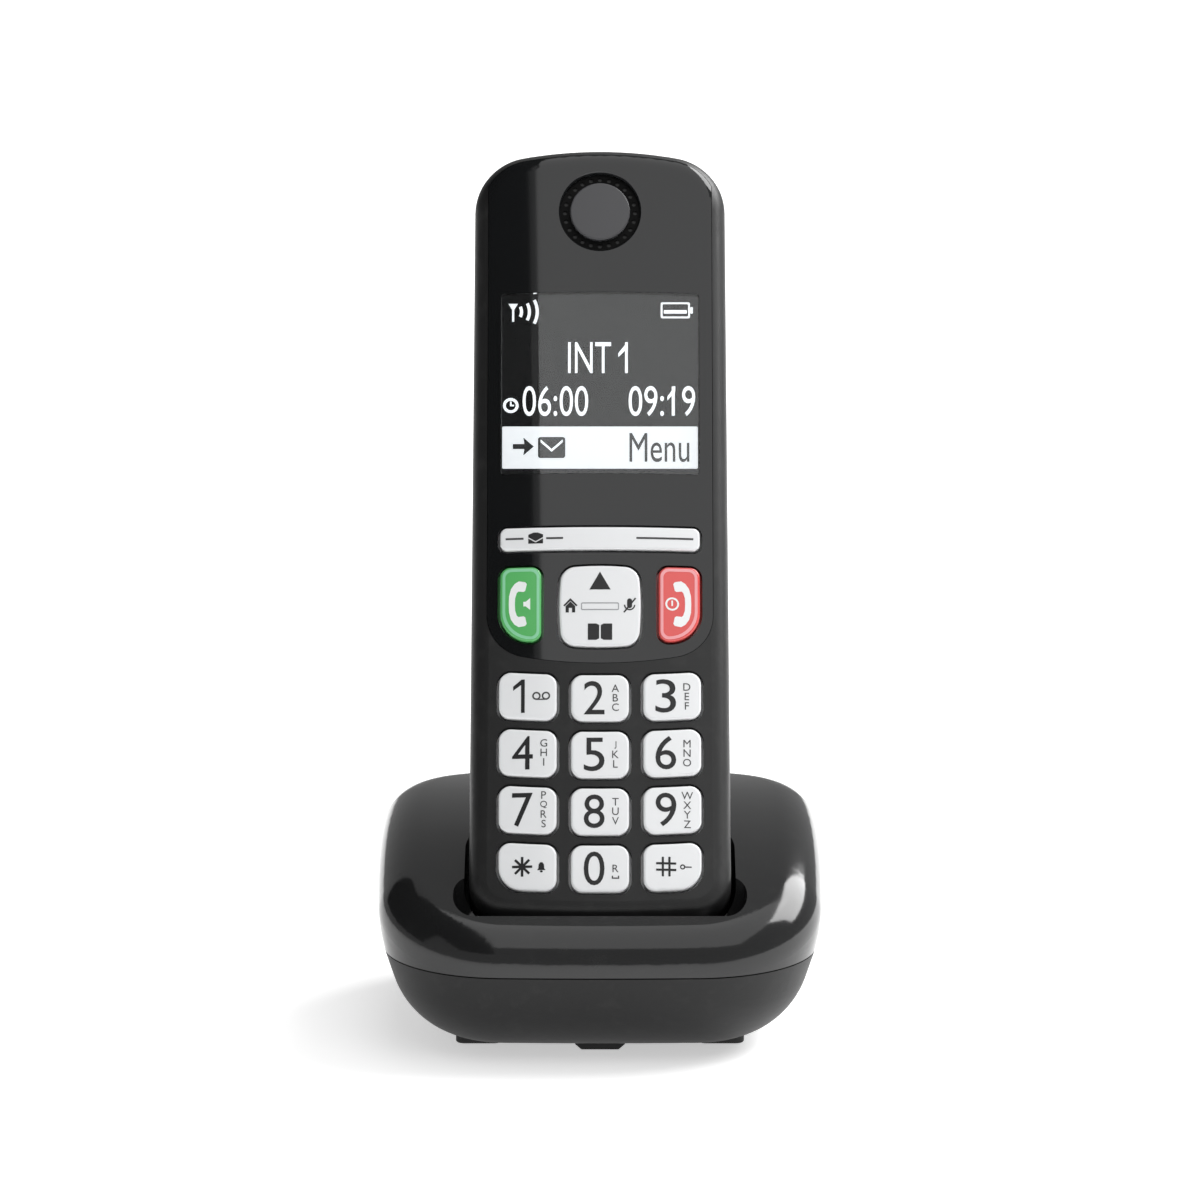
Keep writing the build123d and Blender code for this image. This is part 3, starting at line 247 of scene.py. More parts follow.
@dataclass(frozen=True)
class Palette:
    """Every finish on the telephone."""

    housing: Finish = Finish(
        "satin_grey_housing", (0.0095, 0.0097, 0.0099), 0.44, grain=0.012, dust=0.02
    )
    bottom: Finish = Finish(
        "satin_grey_bottom_shell", (0.008, 0.0081, 0.0083), 0.5,
        grain=0.014, dust=0.02, specular=0.3,
    )
    gloss_top: Finish = Finish(
        "polished_grey_top_shell", (0.012, 0.0122, 0.0125), 0.12,
        grain=0.0015, unevenness=0.03, dust=0.01,
    )
    fascia: Finish = Finish(
        "piano_gloss_fascia", (0.008, 0.0085, 0.009), 0.05, grain=0.0004, unevenness=0.02
    )
    window: Finish = Finish(
        "clear_window", (0.92, 0.95, 0.96), 0.02,
        grain=0.0, mottle=0.02, unevenness=0.01, transmission=1.0, specular=0.3,
    )
    display: Finish = Finish(
        "display_glass", (0.002, 0.002, 0.0025), 0.2, grain=0.0004, mottle=0.2, specular=0.0
    )
    guide: Finish = Finish("light_guide", (0.75, 0.78, 0.8), 0.15, grain=0.002)
    inner: Finish = Finish("grey_moulding", (0.08, 0.08, 0.085), 0.5, grain=0.02)
    earpiece: Finish = Finish("earpiece_black", (0.012, 0.012, 0.013), 0.2, grain=0.002, coat=0.3)
    grille: Finish = Finish("grille_black", (0.003, 0.003, 0.003), 0.6, grain=0.01, specular=0.12)
    key: Finish = Finish(
        "pearl_white_key", (0.80, 0.81, 0.82), 0.24, grain=0.004, mottle=0.03, coat=0.4
    )
    key_green: Finish = Finish("green_key", (0.10, 0.46, 0.13), 0.22, grain=0.003, coat=0.3)
    key_red: Finish = Finish("red_key", (0.70, 0.085, 0.08), 0.22, grain=0.003, coat=0.3)
    # Pale bands round the tops of the talk and end keys: painted highlight of the light on their
    # bevelled edges.
    green_highlight_rim: Finish = Finish("painted_highlight_green_rim", (0.25, 0.62, 0.36), 0.25, grain=0.002, mottle=0.03)
    red_highlight_rim: Finish = Finish("painted_highlight_red_rim", (0.85, 0.36, 0.38), 0.25, grain=0.002, mottle=0.03)
    ink: Finish = Finish("black_ink", (0.010, 0.010, 0.011), 0.35, grain=0.003)
    ink_grey: Finish = Finish("grey_ink", (0.32, 0.33, 0.34), 0.4, grain=0.003)
    ink_letter: Finish = Finish("dark_grey_ink", (0.05, 0.05, 0.052), 0.4, grain=0.003)
    ink_white: Finish = Finish("white_ink", (0.86, 0.88, 0.88), 0.35, grain=0.003, mottle=0.03)
    silicone: Finish = Finish("silicone", (0.30, 0.31, 0.32), 0.6, grain=0.02)
    steel: Finish = Finish("tinned_steel", (0.56, 0.56, 0.57), 0.32, 1.0, grain=0.006)
    board: Finish = Finish("solder_mask", (0.012, 0.12, 0.04), 0.3, grain=0.004, mottle=0.3)
    gold: Finish = Finish("gold_plating", (0.78, 0.55, 0.22), 0.25, 1.0, grain=0.003)
    nickel: Finish = Finish("nickel_plating", (0.66, 0.64, 0.60), 0.22, 1.0, grain=0.003)
    cell: Finish = Finish("cell_sleeve", (0.03, 0.12, 0.26), 0.3, grain=0.003, mottle=0.2)
    speaker: Finish = Finish("speaker_black", (0.015, 0.015, 0.015), 0.6, grain=0.03)
    socket: Finish = Finish("socket_black", (0.012, 0.012, 0.013), 0.5, grain=0.01)
    capacitor: Finish = Finish("capacitor_sleeve", (0.006, 0.01, 0.04), 0.3, grain=0.003)
    rubber: Finish = Finish("foot_rubber", (0.03, 0.03, 0.03), 0.75, grain=0.05, dust=0.25)
    lit: Finish = Finish(
        "lit_white", (0.7, 0.7, 0.7), 0.4, grain=0.0, glow=0.95, glow_colour=(0.97, 0.98, 1.0)
    )
    lit_soft: Finish = Finish(
        "lit_bar", (0.6, 0.6, 0.6), 0.4, grain=0.0, glow=0.8, glow_colour=(0.97, 0.98, 1.0)
    )
    unlit: Finish = Finish("unlit_black", (0.004, 0.004, 0.005), 0.4, grain=0.0)


FINISHES = Palette()


# ------------------------------------------------------------------ handset frame
@dataclass
class HandsetFrame:
    """Placement of flat artwork on the leaning keypad side.

    Local x runs to the right, z along the handset from its foot, and out stands off the
    keypad face. All local values are millimetres.
    """

    up: Vector = field(init=False)
    out: Vector = field(init=False)
    origin: Vector = field(init=False)

    def __post_init__(self) -> None:
        """Reads the lean from the lift joint and the origin from the front shell."""
        lift = next(j for j in frame["joints"] if j["name"] == "handset_lift")
        self.up = Vector(lift["axis"]).normalized()
        self.out = Vector((1, 0, 0)).cross(self.up)
        shell = frame["nodes"]["handset_front_shell"].data.vertices
        low = min(v.co.dot(self.up) for v in shell)
        high = max(v.co.dot(self.out) for v in shell)
        self.origin = self.up * low + self.out * high

    def point(self, x: float, z: float, out: float = 0.0) -> Vector:
        """Row position of a local point."""
        return self.origin + (Vector((1, 0, 0)) * x + self.up * z + self.out * out) * MM

    def local(self, place: Vector) -> tuple[float, float, float]:
        """Local x, z and stand-off of a row position."""
        rest = (place - self.origin) / MM
        return rest.x, rest.dot(self.up), rest.dot(self.out)

    def extent(self, node: str) -> tuple[float, float, float, float]:
        """Local extent of a CAD node.

        Args:
            node: Node name.

        Returns:
            Lowest x, highest x, lowest z and highest z.
        """
        places = [self.local(v.co) for v in frame["nodes"][node].data.vertices]
        xs = [p[0] for p in places]
        zs = [p[1] for p in places]
        return min(xs), max(xs), min(zs), max(zs)

    def top_extent(self, node: str, depth: float = 1.0) -> tuple[float, float, float, float]:
        """Local extent of the exposed top of a key.

        Args:
            node: Node name.
            depth: How far below its highest point still counts as the top.

        Returns:
            Lowest x, highest x, lowest z and highest z.
        """
        places = [self.local(v.co) for v in frame["nodes"][node].data.vertices]
        high = max(p[2] for p in places)
        top = [p for p in places if p[2] > high - depth]
        xs = [p[0] for p in top]
        zs = [p[1] for p in top]
        return min(xs), max(xs), min(zs), max(zs)


class Artwork:
    """Thin ink or light pieces that lie on a surface of the handset."""

    thickness = 0.03
    longest_edge = 0.9

    def __init__(self, place: HandsetFrame, node: str, body: str, slot: str) -> None:
        """Prepares the surface that the artwork lies on.

        Args:
            place: The handset's frame.
            node: CAD node that carries the artwork.
            body: Body that it rides on.
            slot: Material slot of the record. Not used.
        """
        self.place = place
        self.body = body
        self.slot = slot
        mesh = frame["nodes"][node].data
        corners = [v.co.copy() for v in mesh.vertices]
        self.tree = BVHTree.FromPolygons(corners, [tuple(p.vertices) for p in mesh.polygons])

    def surface(self, x: float, z: float) -> float:
        """Stand-off of the surface under a local point.

        Args:
            x: Local x.
            z: Local z.

        Returns:
            Stand-off in millimetres, 0 where nothing is hit.
        """
        start = self.place.point(x, z, 6.0)
        hit = self.tree.ray_cast(start, -self.place.out)[0]
        return self.place.local(hit)[2] if hit is not None else 0.0

    def finish_piece(
        self, piece: bpy.types.Object, finish: Finish, lift: float = 0.0
    ) -> bpy.types.Object:
        """Lays a flat mesh on the surface and dresses it.

        The mesh arrives in local x and z, with its y from 0 (top) to 1 (underside).

        Args:
            piece: Object whose mesh is laid down.
            finish: Finish it gets.
            lift: Extra stand-off in millimetres.

        Returns:
            The same object.
        """
        for vertex in piece.data.vertices:
            x, side, z = vertex.co
            base = self.surface(x, z) + lift
            vertex.co = self.place.point(x, z, base + self.thickness * (1 - side))
        piece.data.materials.clear()
        piece.data.materials.append(finish.material())
        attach(piece, self.body)
        return piece

    def text(
        self, name: str, words: str, at: Point, height: float, finish: Finish,
        width: float = 0.0, lift: float = 0.0,
    ) -> bpy.types.Object:
        """Sets a line of text.

        Args:
            name: Piece name.
            words: The text.
            at: Local x and z of its middle.
            height: Height of a capital letter in millimetres.
            finish: Ink.
            width: Width in millimetres, 0 for the letters' own proportions.
            lift: Extra stand-off.

        Returns:
            The piece.
        """
        curve = bpy.data.curves.new(name, "FONT")
        curve.body = words
        curve.size = 1.0
        curve.resolution_u = 5
        holder = bpy.data.objects.new(name, curve)
        bpy.context.scene.collection.objects.link(holder)
        mesh = bpy.data.meshes.new_from_object(
            holder.evaluated_get(bpy.context.evaluated_depsgraph_get())
        )
        bpy.data.objects.remove(holder)
        xs = [v.co.x for v in mesh.vertices]
        ys = [v.co.y for v in mesh.vertices]
        tall = height / (max(ys) - min(ys))
        wide = width / (max(xs) - min(xs)) if width else tall
        left, low = (min(xs) + max(xs)) / 2, (min(ys) + max(ys)) / 2
        flat = [(at[0] + (x - left) * wide, at[1] + (y - low) * tall) for x, y in zip(xs, ys)]
        faces = [tuple(p.vertices) for p in mesh.polygons]
        return self.plate(name, flat, faces, finish, lift)

    def plate(
        self, name: str, flat: list[Point], faces: list[tuple[int, ...]], finish: Finish,
        lift: float = 0.0,
    ) -> bpy.types.Object:
        """Turns a flat outline mesh into a thin closed plate on the surface.

        Args:
            name: Piece name.
            flat: Local x and z of each vertex.
            faces: Faces of the flat mesh.
            finish: Ink.
            lift: Extra stand-off.

        Returns:
            The piece.
        """
        merged: dict[Point, int] = {}
        index = [merged.setdefault((round(x, 4), round(z, 4)), len(merged)) for x, z in flat]
        spots = list(merged)
        count = len(spots)
        kept = []
        for face in faces:
            loop = [index[i] for i in face]
            loop = [i for k, i in enumerate(loop) if i != loop[k - 1]]
            if len(set(loop)) == len(loop) >= 3:
                kept.append(loop)
        edges: dict[tuple[int, int], int] = {}
        for loop in kept:
            for k, i in enumerate(loop):
                edges[(loop[k - 1], i)] = edges.get((loop[k - 1], i), 0) + 1
        solid = [tuple(loop) for loop in kept]
        solid += [tuple(count + i for i in reversed(loop)) for loop in kept]
        solid += [(b, a, count + a, count + b) for a, b in edges if (b, a) not in edges]
        corners = [(x, 0.0, z) for x, z in spots] + [(x, 1.0, z) for x, z in spots]
        mesh = bpy.data.meshes.new(name)
        mesh.from_pydata(corners, [], solid)
        piece = bpy.data.objects.new(name, mesh)
        bpy.context.scene.collection.objects.link(piece)
        return self.finish_piece(piece, finish, lift)

    def shape(
        self, name: str, outline: list[Point], finish: Finish, lift: float = 0.0
    ) -> bpy.types.Object:
        """Fills one closed outline.

        Args:
            name: Piece name.
            outline: Local x and z of its corners, in order.
            finish: Ink.
            lift: Extra stand-off.

        Returns:
            The piece.
        """
        outline = stepped(outline, edge_steps(outline, self.longest_edge))
        return self.plate(name, outline, [tuple(range(len(outline)))], finish, lift)

    def band(
        self, name: str, outer: list[Point], inner: list[Point], finish: Finish, lift: float = 0.0
    ) -> bpy.types.Object:
        """Fills the band between two outlines of as many corners.

        Args:
            name: Piece name.
            outer: Outer outline.
            inner: Inner outline.
            finish: Ink.
            lift: Extra stand-off.

        Returns:
            The piece.
        """
        steps = edge_steps(outer, self.longest_edge)
        outer, inner = stepped(outer, steps), stepped(inner, steps)
        n = len(outer)
        faces = [(i, (i + 1) % n, n + (i + 1) % n, n + i) for i in range(n)]
        return self.plate(name, outer + inner, faces, finish, lift)


def rounded(
    x: float, z: float, w: float, h: float, radii: tuple[float, ...], steps: int = 6
) -> list[Point]:
    """Rounded rectangle.

    Args:
        x: Centre x.
        z: Centre z.
        w: Width.
        h: Height.
        radii: Corner radii from lower left, anticlockwise.
        steps: Segments in each corner.

    Returns:
        Its corners, anticlockwise.
    """
    signs = ((-1, -1), (1, -1), (1, 1), (-1, 1))
    points = []
    for k, ((sx, sz), r) in enumerate(zip(signs, radii)):
        cx, cz = x + sx * (w / 2 - r), z + sz * (h / 2 - r)
        start = math.pi + k * math.pi / 2
        for i in range(steps + 1):
            turn = start + i * math.pi / 2 / steps
            points.append((cx + r * math.cos(turn), cz + r * math.sin(turn)))
    return points


def ellipse(x: float, z: float, rx: float, rz: float, steps: int = 28) -> list[Point]:
    """Ellipse as a closed outline, anticlockwise."""
    return [
        (x + rx * math.cos(2 * math.pi * i / steps), z + rz * math.sin(2 * math.pi * i / steps))
        for i in range(steps)
    ]


def edge_steps(outline: list[Point], longest: float) -> list[int]:
    """Number of steps that keep each edge of an outline short enough to follow a crown."""
    lengths = [math.dist(outline[i - 1], p) for i, p in enumerate(outline)]
    return [max(1, math.ceil(length / longest)) for length in lengths]


def stepped(outline: list[Point], steps: list[int]) -> list[Point]:
    """Outline with its edges cut into steps.

    Args:
        outline: Corners, in order.
        steps: Steps of the edge that ends in each corner.

    Returns:
        The longer list of corners.
    """
    points = []
    for i, (x, z) in enumerate(outline):
        px, pz = outline[i - 1]
        n = steps[i]
        points += [(px + (x - px) * k / n, pz + (z - pz) * k / n) for k in range(1, n + 1)]
    return points


def arc_strip(x: float, z: float, r: float, wide: float, start: float, stop: float) -> list[Point]:
    """Curved strip as a closed outline.

    Args:
        x: Centre x.
        z: Centre z.
        r: Middle radius.
        wide: Width of the strip.
        start: First angle in degrees.
        stop: Last angle in degrees.

    Returns:
        Its corners.
    """
    turns = [math.radians(start + (stop - start) * i / 14) for i in range(15)]
    outer = [(x + (r + wide / 2) * math.cos(t), z + (r + wide / 2) * math.sin(t)) for t in turns]
    inner = [(x + (r - wide / 2) * math.cos(t), z + (r - wide / 2) * math.sin(t)) for t in turns]
    return outer + inner[::-1]


# ------------------------------------------------------------------ keypad
@dataclass
class NumberKeys:
    """Legends of the twelve number keys."""

    place: HandsetFrame
    digit_height: float = 6.5
    digit_shift: float = -1.1
    letter_height: float = 1.45
    letter_shift: float = 2.9
    letter_pitch: float = 1.85
    letters: dict[str, str] = field(
        default_factory=lambda: {
            "2": "ABC", "3": "DEF", "4": "GHI", "5": "JKL", "6": "MNO",
            "7": "PQRS", "8": "TUV", "9": "WXYZ", "0": "R",
        }
    )

    def centre(self, node: str) -> Point:
        """Middle of a key's top."""
        x0, x1, z0, z1 = self.place.top_extent(node)
        return (x0 + x1) / 2, (z0 + z1) / 2

    def build(self) -> None:
        """Sets the legend of every key."""
        for name in "0123456789":
            node = f"key_{name}"
            art = Artwork(self.place, node, f"{node}_body", "key_white")
            x, z = self.centre(node)
            if name == "1":
                one = [
                    (-1.6, 1.9), (0.0, 3.25), (0.6, 3.25), (0.6, -3.25), (-0.1, -3.25),
                    (-0.1, 2.2), (-1.6, 1.1),
                ]
                art.shape("legend_1", [(x - 1.3 + u, z + v) for u, v in one][::-1], FINISHES.ink)
            else:
                at = (x + self.digit_shift, z)
                art.text(f"legend_{name}", name, at, self.digit_height, FINISHES.ink, width=3.9)
            self.side_letters(art, name, x + self.letter_shift, z)
        self.star(*self.centre("key_star"))
        self.hash(*self.centre("key_hash"))
        LOG.info("number keys: twelve legends")

    def side_letters(self, art: Artwork, name: str, x: float, z: float) -> None:
        """Sets the small stacked letters beside a digit.

        Args:
            art: Artwork of the key.
            name: The digit.
            x: Local x of the stack.
            z: Local z of its middle.
        """
        words = self.letters.get(name, "")
        for i, letter in enumerate(words):
            level = z + ((len(words) - 1) / 2 - i) * self.letter_pitch
            art.text(
                f"letter_{name}_{letter}", letter, (x, level), self.letter_height,
                FINISHES.ink_letter,
            )
        if name == "0":
            space = [
                (-0.7, -1.6), (-0.7, -2.2), (0.7, -2.2), (0.7, -1.6),
                (0.45, -1.6), (0.45, -1.95), (-0.45, -1.95), (-0.45, -1.6),
            ]
            corners = [(x + u, z + v + 0.2) for u, v in space]
            art.shape("letter_0_space", corners, FINISHES.ink_letter)
        if name == "1":
            for i, dx in enumerate((-1.4, 0.4)):
                outer = ellipse(x + dx, z, 0.8, 0.8, 18)
                inner = ellipse(x + dx, z, 0.5, 0.5, 18)
                art.band(f"voicemail_reel_{i}", outer, inner, FINISHES.ink_letter)
            bar = rounded(x - 0.5, z - 0.68, 1.8, 0.24, (0.1,) * 4, 2)
            art.shape("voicemail_tape", bar, FINISHES.ink_letter, 0.004)

    def star(self, x: float, z: float) -> None:
        """Draws the star with its small bell.

        Args:
            x: Local x of the key's middle.
            z: Local z of the key's middle.
        """
        art = Artwork(self.place, "key_star", "key_star_body", "key_white")
        for i in range(4):
            turn = math.pi * i / 4
            ux, uz = math.cos(turn), math.sin(turn)
            half, thin = 1.9, 0.24
            corners = [
                (x - 1.1 + ux * half - uz * thin, z + uz * half + ux * thin),
                (x - 1.1 - ux * half - uz * thin, z - uz * half + ux * thin),
                (x - 1.1 - ux * half + uz * thin, z - uz * half - ux * thin),
                (x - 1.1 + ux * half + uz * thin, z + uz * half - ux * thin),
            ]
            art.shape(f"star_bar_{i}", corners, FINISHES.ink, 0.002 * i)
        bell = [
            (-0.8, -0.7), (0.8, -0.7), (0.55, -0.35), (0.5, 0.4),
            (0.2, 0.8), (-0.2, 0.8), (-0.5, 0.4), (-0.55, -0.35),
        ]
        art.shape("bell", [(x + 2.5 + u, z + v) for u, v in bell], FINISHES.ink)
        art.shape("bell_clapper", ellipse(x + 2.5, z - 0.95, 0.28, 0.2, 12), FINISHES.ink)

    def hash(self, x: float, z: float) -> None:
        """Draws the hash sign with its small key.

        Args:
            x: Local x of the key's middle.
            z: Local z of the key's middle.
        """
        art = Artwork(self.place, "key_hash", "key_hash_body", "key_white")
        level = 0
        for shift in (-0.62, 0.62):
            for tall in (True, False):
                w, h = (0.42, 3.8) if tall else (3.8, 0.42)
                cx, cz = (x - 1.1 + shift, z) if tall else (x - 1.1, z + shift)
                bar = rounded(cx, cz, w, h, (0.1,) * 4, 2)
                art.shape(f"hash_bar_{level}", bar, FINISHES.ink, 0.002 * level)
                level += 1
        ring = ellipse(x + 2.0, z, 0.5, 0.5, 18), ellipse(x + 2.0, z, 0.27, 0.27, 18)
        art.band("padlock_ring", *ring, FINISHES.ink)
        art.shape("padlock_bar", rounded(x + 3.1, z, 1.2, 0.22, (0.05,) * 4, 2), FINISHES.ink)


@dataclass
class CallKeys:
    """Painted highlight rims and handset symbols of the talk key and the end key."""

    place: HandsetFrame
    # Width of the pale band that is painted as the highlight on the key's bevel.
    rim: float = 0.55
    corner: float = 1.9
    cut: float = 5.7
    outer_inset: float = 0.3
    inner_inset: float = 0.7

    def build(self) -> None:
        """Dresses both keys."""
        for side, node, rim in (
            (Side.LEFT, "key_talk", FINISHES.green_highlight_rim),
            (Side.RIGHT, "key_end", FINISHES.red_highlight_rim),
        ):
            self.dress(side, node, rim)
        LOG.info("call keys: rims and symbols")

    def dress(self, side: Side, node: str, rim: Finish) -> None:
        """Draws one key's rim, a pale band painted as the highlight on its bevelled edge, and its
        symbol.

        Args:
            side: Side of the handset that the key is on.
            node: Node name.
            rim: Finish of the rim, the painted highlight.
        """
        slot = "key_green" if side is Side.LEFT else "key_red"
        art = Artwork(self.place, node, f"{node}_body", slot)
        x0, x1, z0, z1 = self.place.top_extent(node, 0.9)
        x, z, w, h = (x0 + x1) / 2, (z0 + z1) / 2, x1 - x0 - 0.7, z1 - z0 - 0.7
        low = (self.cut, self.corner) if side is Side.LEFT else (self.corner, self.cut)
        radii = (*low, self.corner, self.corner)
        outer = rounded(x, z, w, h, tuple(radius - self.outer_inset for radius in radii), 9)
        inner = rounded(
            x, z, w - 2 * self.rim, h - 2 * self.rim,
            tuple(radius - self.inner_inset for radius in radii), 9,
        )
        # Pale band round the key top: painted highlight of its bevelled edge.
        art.band(f"{node}_rim", outer, inner, rim)
        self.receiver(art, f"{node}_receiver", x + side.value * 0.3, z, side)
        if side is Side.LEFT:
            horn = [
                (-0.1, -0.45), (0.35, -0.45), (1.2, -1.15), (1.2, 1.15), (0.35, 0.45), (-0.1, 0.45)
            ]
            corners = [(x + 0.55 + u, z + v) for u, v in horn]
            art.shape("talk_loudspeaker", corners, FINISHES.ink_white)
        else:
            outer, inner = ellipse(x - 1.3, z, 1.3, 1.3), ellipse(x - 1.3, z, 0.95, 0.95)
            art.band("end_ring", outer, inner, FINISHES.ink_white)
            bar = rounded(x - 1.3, z + 0.15, 0.3, 1.1, (0.1,) * 4, 2)
            art.shape("end_bar", bar, FINISHES.ink_white)

    def receiver(self, art: Artwork, name: str, x: float, z: float, side: Side) -> None:
        """Draws the telephone receiver symbol.

        Args:
            art: Artwork of the key.
            name: Piece name.
            x: Local x of its middle.
            z: Local z of its middle.
            side: Way that its back faces.
        """
        s = side.value
        half = [
            (2.0, 0.0), (1.95, 1.6), (1.6, 3.0), (0.9, 4.0), (0.1, 4.5), (-1.1, 4.3), (-1.4, 3.9),
            (-1.1, 2.6), (-0.8, 2.4), (0.2, 2.5), (0.5, 2.2), (0.8, 1.2), (0.85, 0.0),
        ]
        mirror = [(u, -v) for u, v in reversed(half[1:-1])]
        outline = [(x + s * u, z + v) for u, v in half + mirror]
        art.shape(name, outline[::-1], FINISHES.ink_white)


@dataclass
class FourWayKey:
    """Symbols of the four-way key."""

    place: HandsetFrame
    reach: float = 5.6

    def build(self) -> None:
        """Draws its five symbols."""
        art = Artwork(self.place, "key_nav", "key_nav_body", "key_white")
        x0, x1, z0, z1 = self.place.top_extent("key_nav")
        x, z = (x0 + x1) / 2, (z0 + z1) / 2
        ink = FINISHES.ink
        art.shape("nav_up", [(x - 2.0, z + 3.2), (x + 2.0, z + 3.2), (x, z + 6.7)], ink)
        roof = [(-1.35, 0.1), (0, 1.5), (1.35, 0.1), (1.1, -0.1), (0, 1.0), (-1.1, -0.1)]
        art.shape("nav_home_roof", [(x - self.reach + u, z + v) for u, v in roof][::-1], ink)
        walls = [
            (-0.9, -1.3), (-0.3, -1.3), (-0.3, -0.4), (0.3, -0.4), (0.3, -1.3), (0.9, -1.3),
            (0.9, -0.05), (0, 0.85), (-0.9, -0.05),
        ]
        art.shape("nav_home_walls", [(x - self.reach + u, z + v) for u, v in walls], ink)
        mic = x + self.reach
        art.shape("nav_microphone", rounded(mic, z + 0.5, 0.95, 1.9, (0.45,) * 4, 4), ink)
        art.shape("nav_microphone_cradle", arc_strip(mic, z + 0.2, 0.95, 0.26, 180, 360), ink)
        slash = [
            (mic - 1.2, z - 1.2), (mic - 0.95, z - 1.35),
            (mic + 1.25, z + 1.45), (mic + 1.0, z + 1.6),
        ]
        art.shape("nav_microphone_slash", slash, ink, 0.01)
        page = [(0.15, -1.3), (0.7, -1.6), (2.3, -1.6), (2.3, 1.6), (0.7, 1.6), (0.15, 1.3)]
        left = [(x - u, z - 5.1 + v) for u, v in reversed(page)]
        right = [(x + u, z - 5.1 + v) for u, v in page]
        art.shape("nav_book_page_left", left, ink)
        art.shape("nav_book_page_right", right, ink)
        outer = rounded(x, z - 0.1, 7.2, 1.5, (0.3,) * 4, 3)
        inner = rounded(x, z - 0.1, 6.8, 1.1, (0.15,) * 4, 3)
        art.band("nav_middle_bar", outer, inner, FINISHES.ink_grey)
        LOG.info("four-way key: symbols")


@dataclass
class DisplayKey:
    """Marks on the long display key."""

    place: HandsetFrame

    def build(self) -> None:
        """Draws the lines and the envelope."""
        art = Artwork(self.place, "key_display", "key_display_body", "key_white")
        x0, x1, z0, z1 = self.place.top_extent("key_display")
        x, z = (x0 + x1) / 2, (z0 + z1) / 2
        for i, (centre, wide) in enumerate(((-16.2, 3.4), (-8.6, 3.2), (12.3, 10.8))):
            spots: list[Point] = []
            count = max(2, round(wide))
            for k in range(count + 1):
                spots.append((x + centre - wide / 2 + wide * k / count, z - 0.19))
            for k in range(count, -1, -1):
                spots.append((x + centre - wide / 2 + wide * k / count, z + 0.19))
            n = count + 1
            faces = [(k, k + 1, 2 * n - 2 - k, 2 * n - 1 - k) for k in range(count)]
            art.plate(f"display_key_line_{i}", spots, faces, FINISHES.ink_letter)
        flap = [
            (-1.4, 0.25), (0, -0.55), (1.4, 0.25), (1.4, 0.75),
            (0.4, 1.15), (-0.4, 1.15), (-1.4, 0.75),
        ]
        art.shape("display_key_flap", [(x - 12.2 + u, z + v) for u, v in flap], FINISHES.ink)
        body = [(-1.4, -1.0), (1.4, -1.0), (1.4, 0.0), (0, -0.8), (-1.4, 0.0)]
        art.shape("display_key_envelope", [(x - 12.2 + u, z + v) for u, v in body], FINISHES.ink)
        LOG.info("display key: marks")


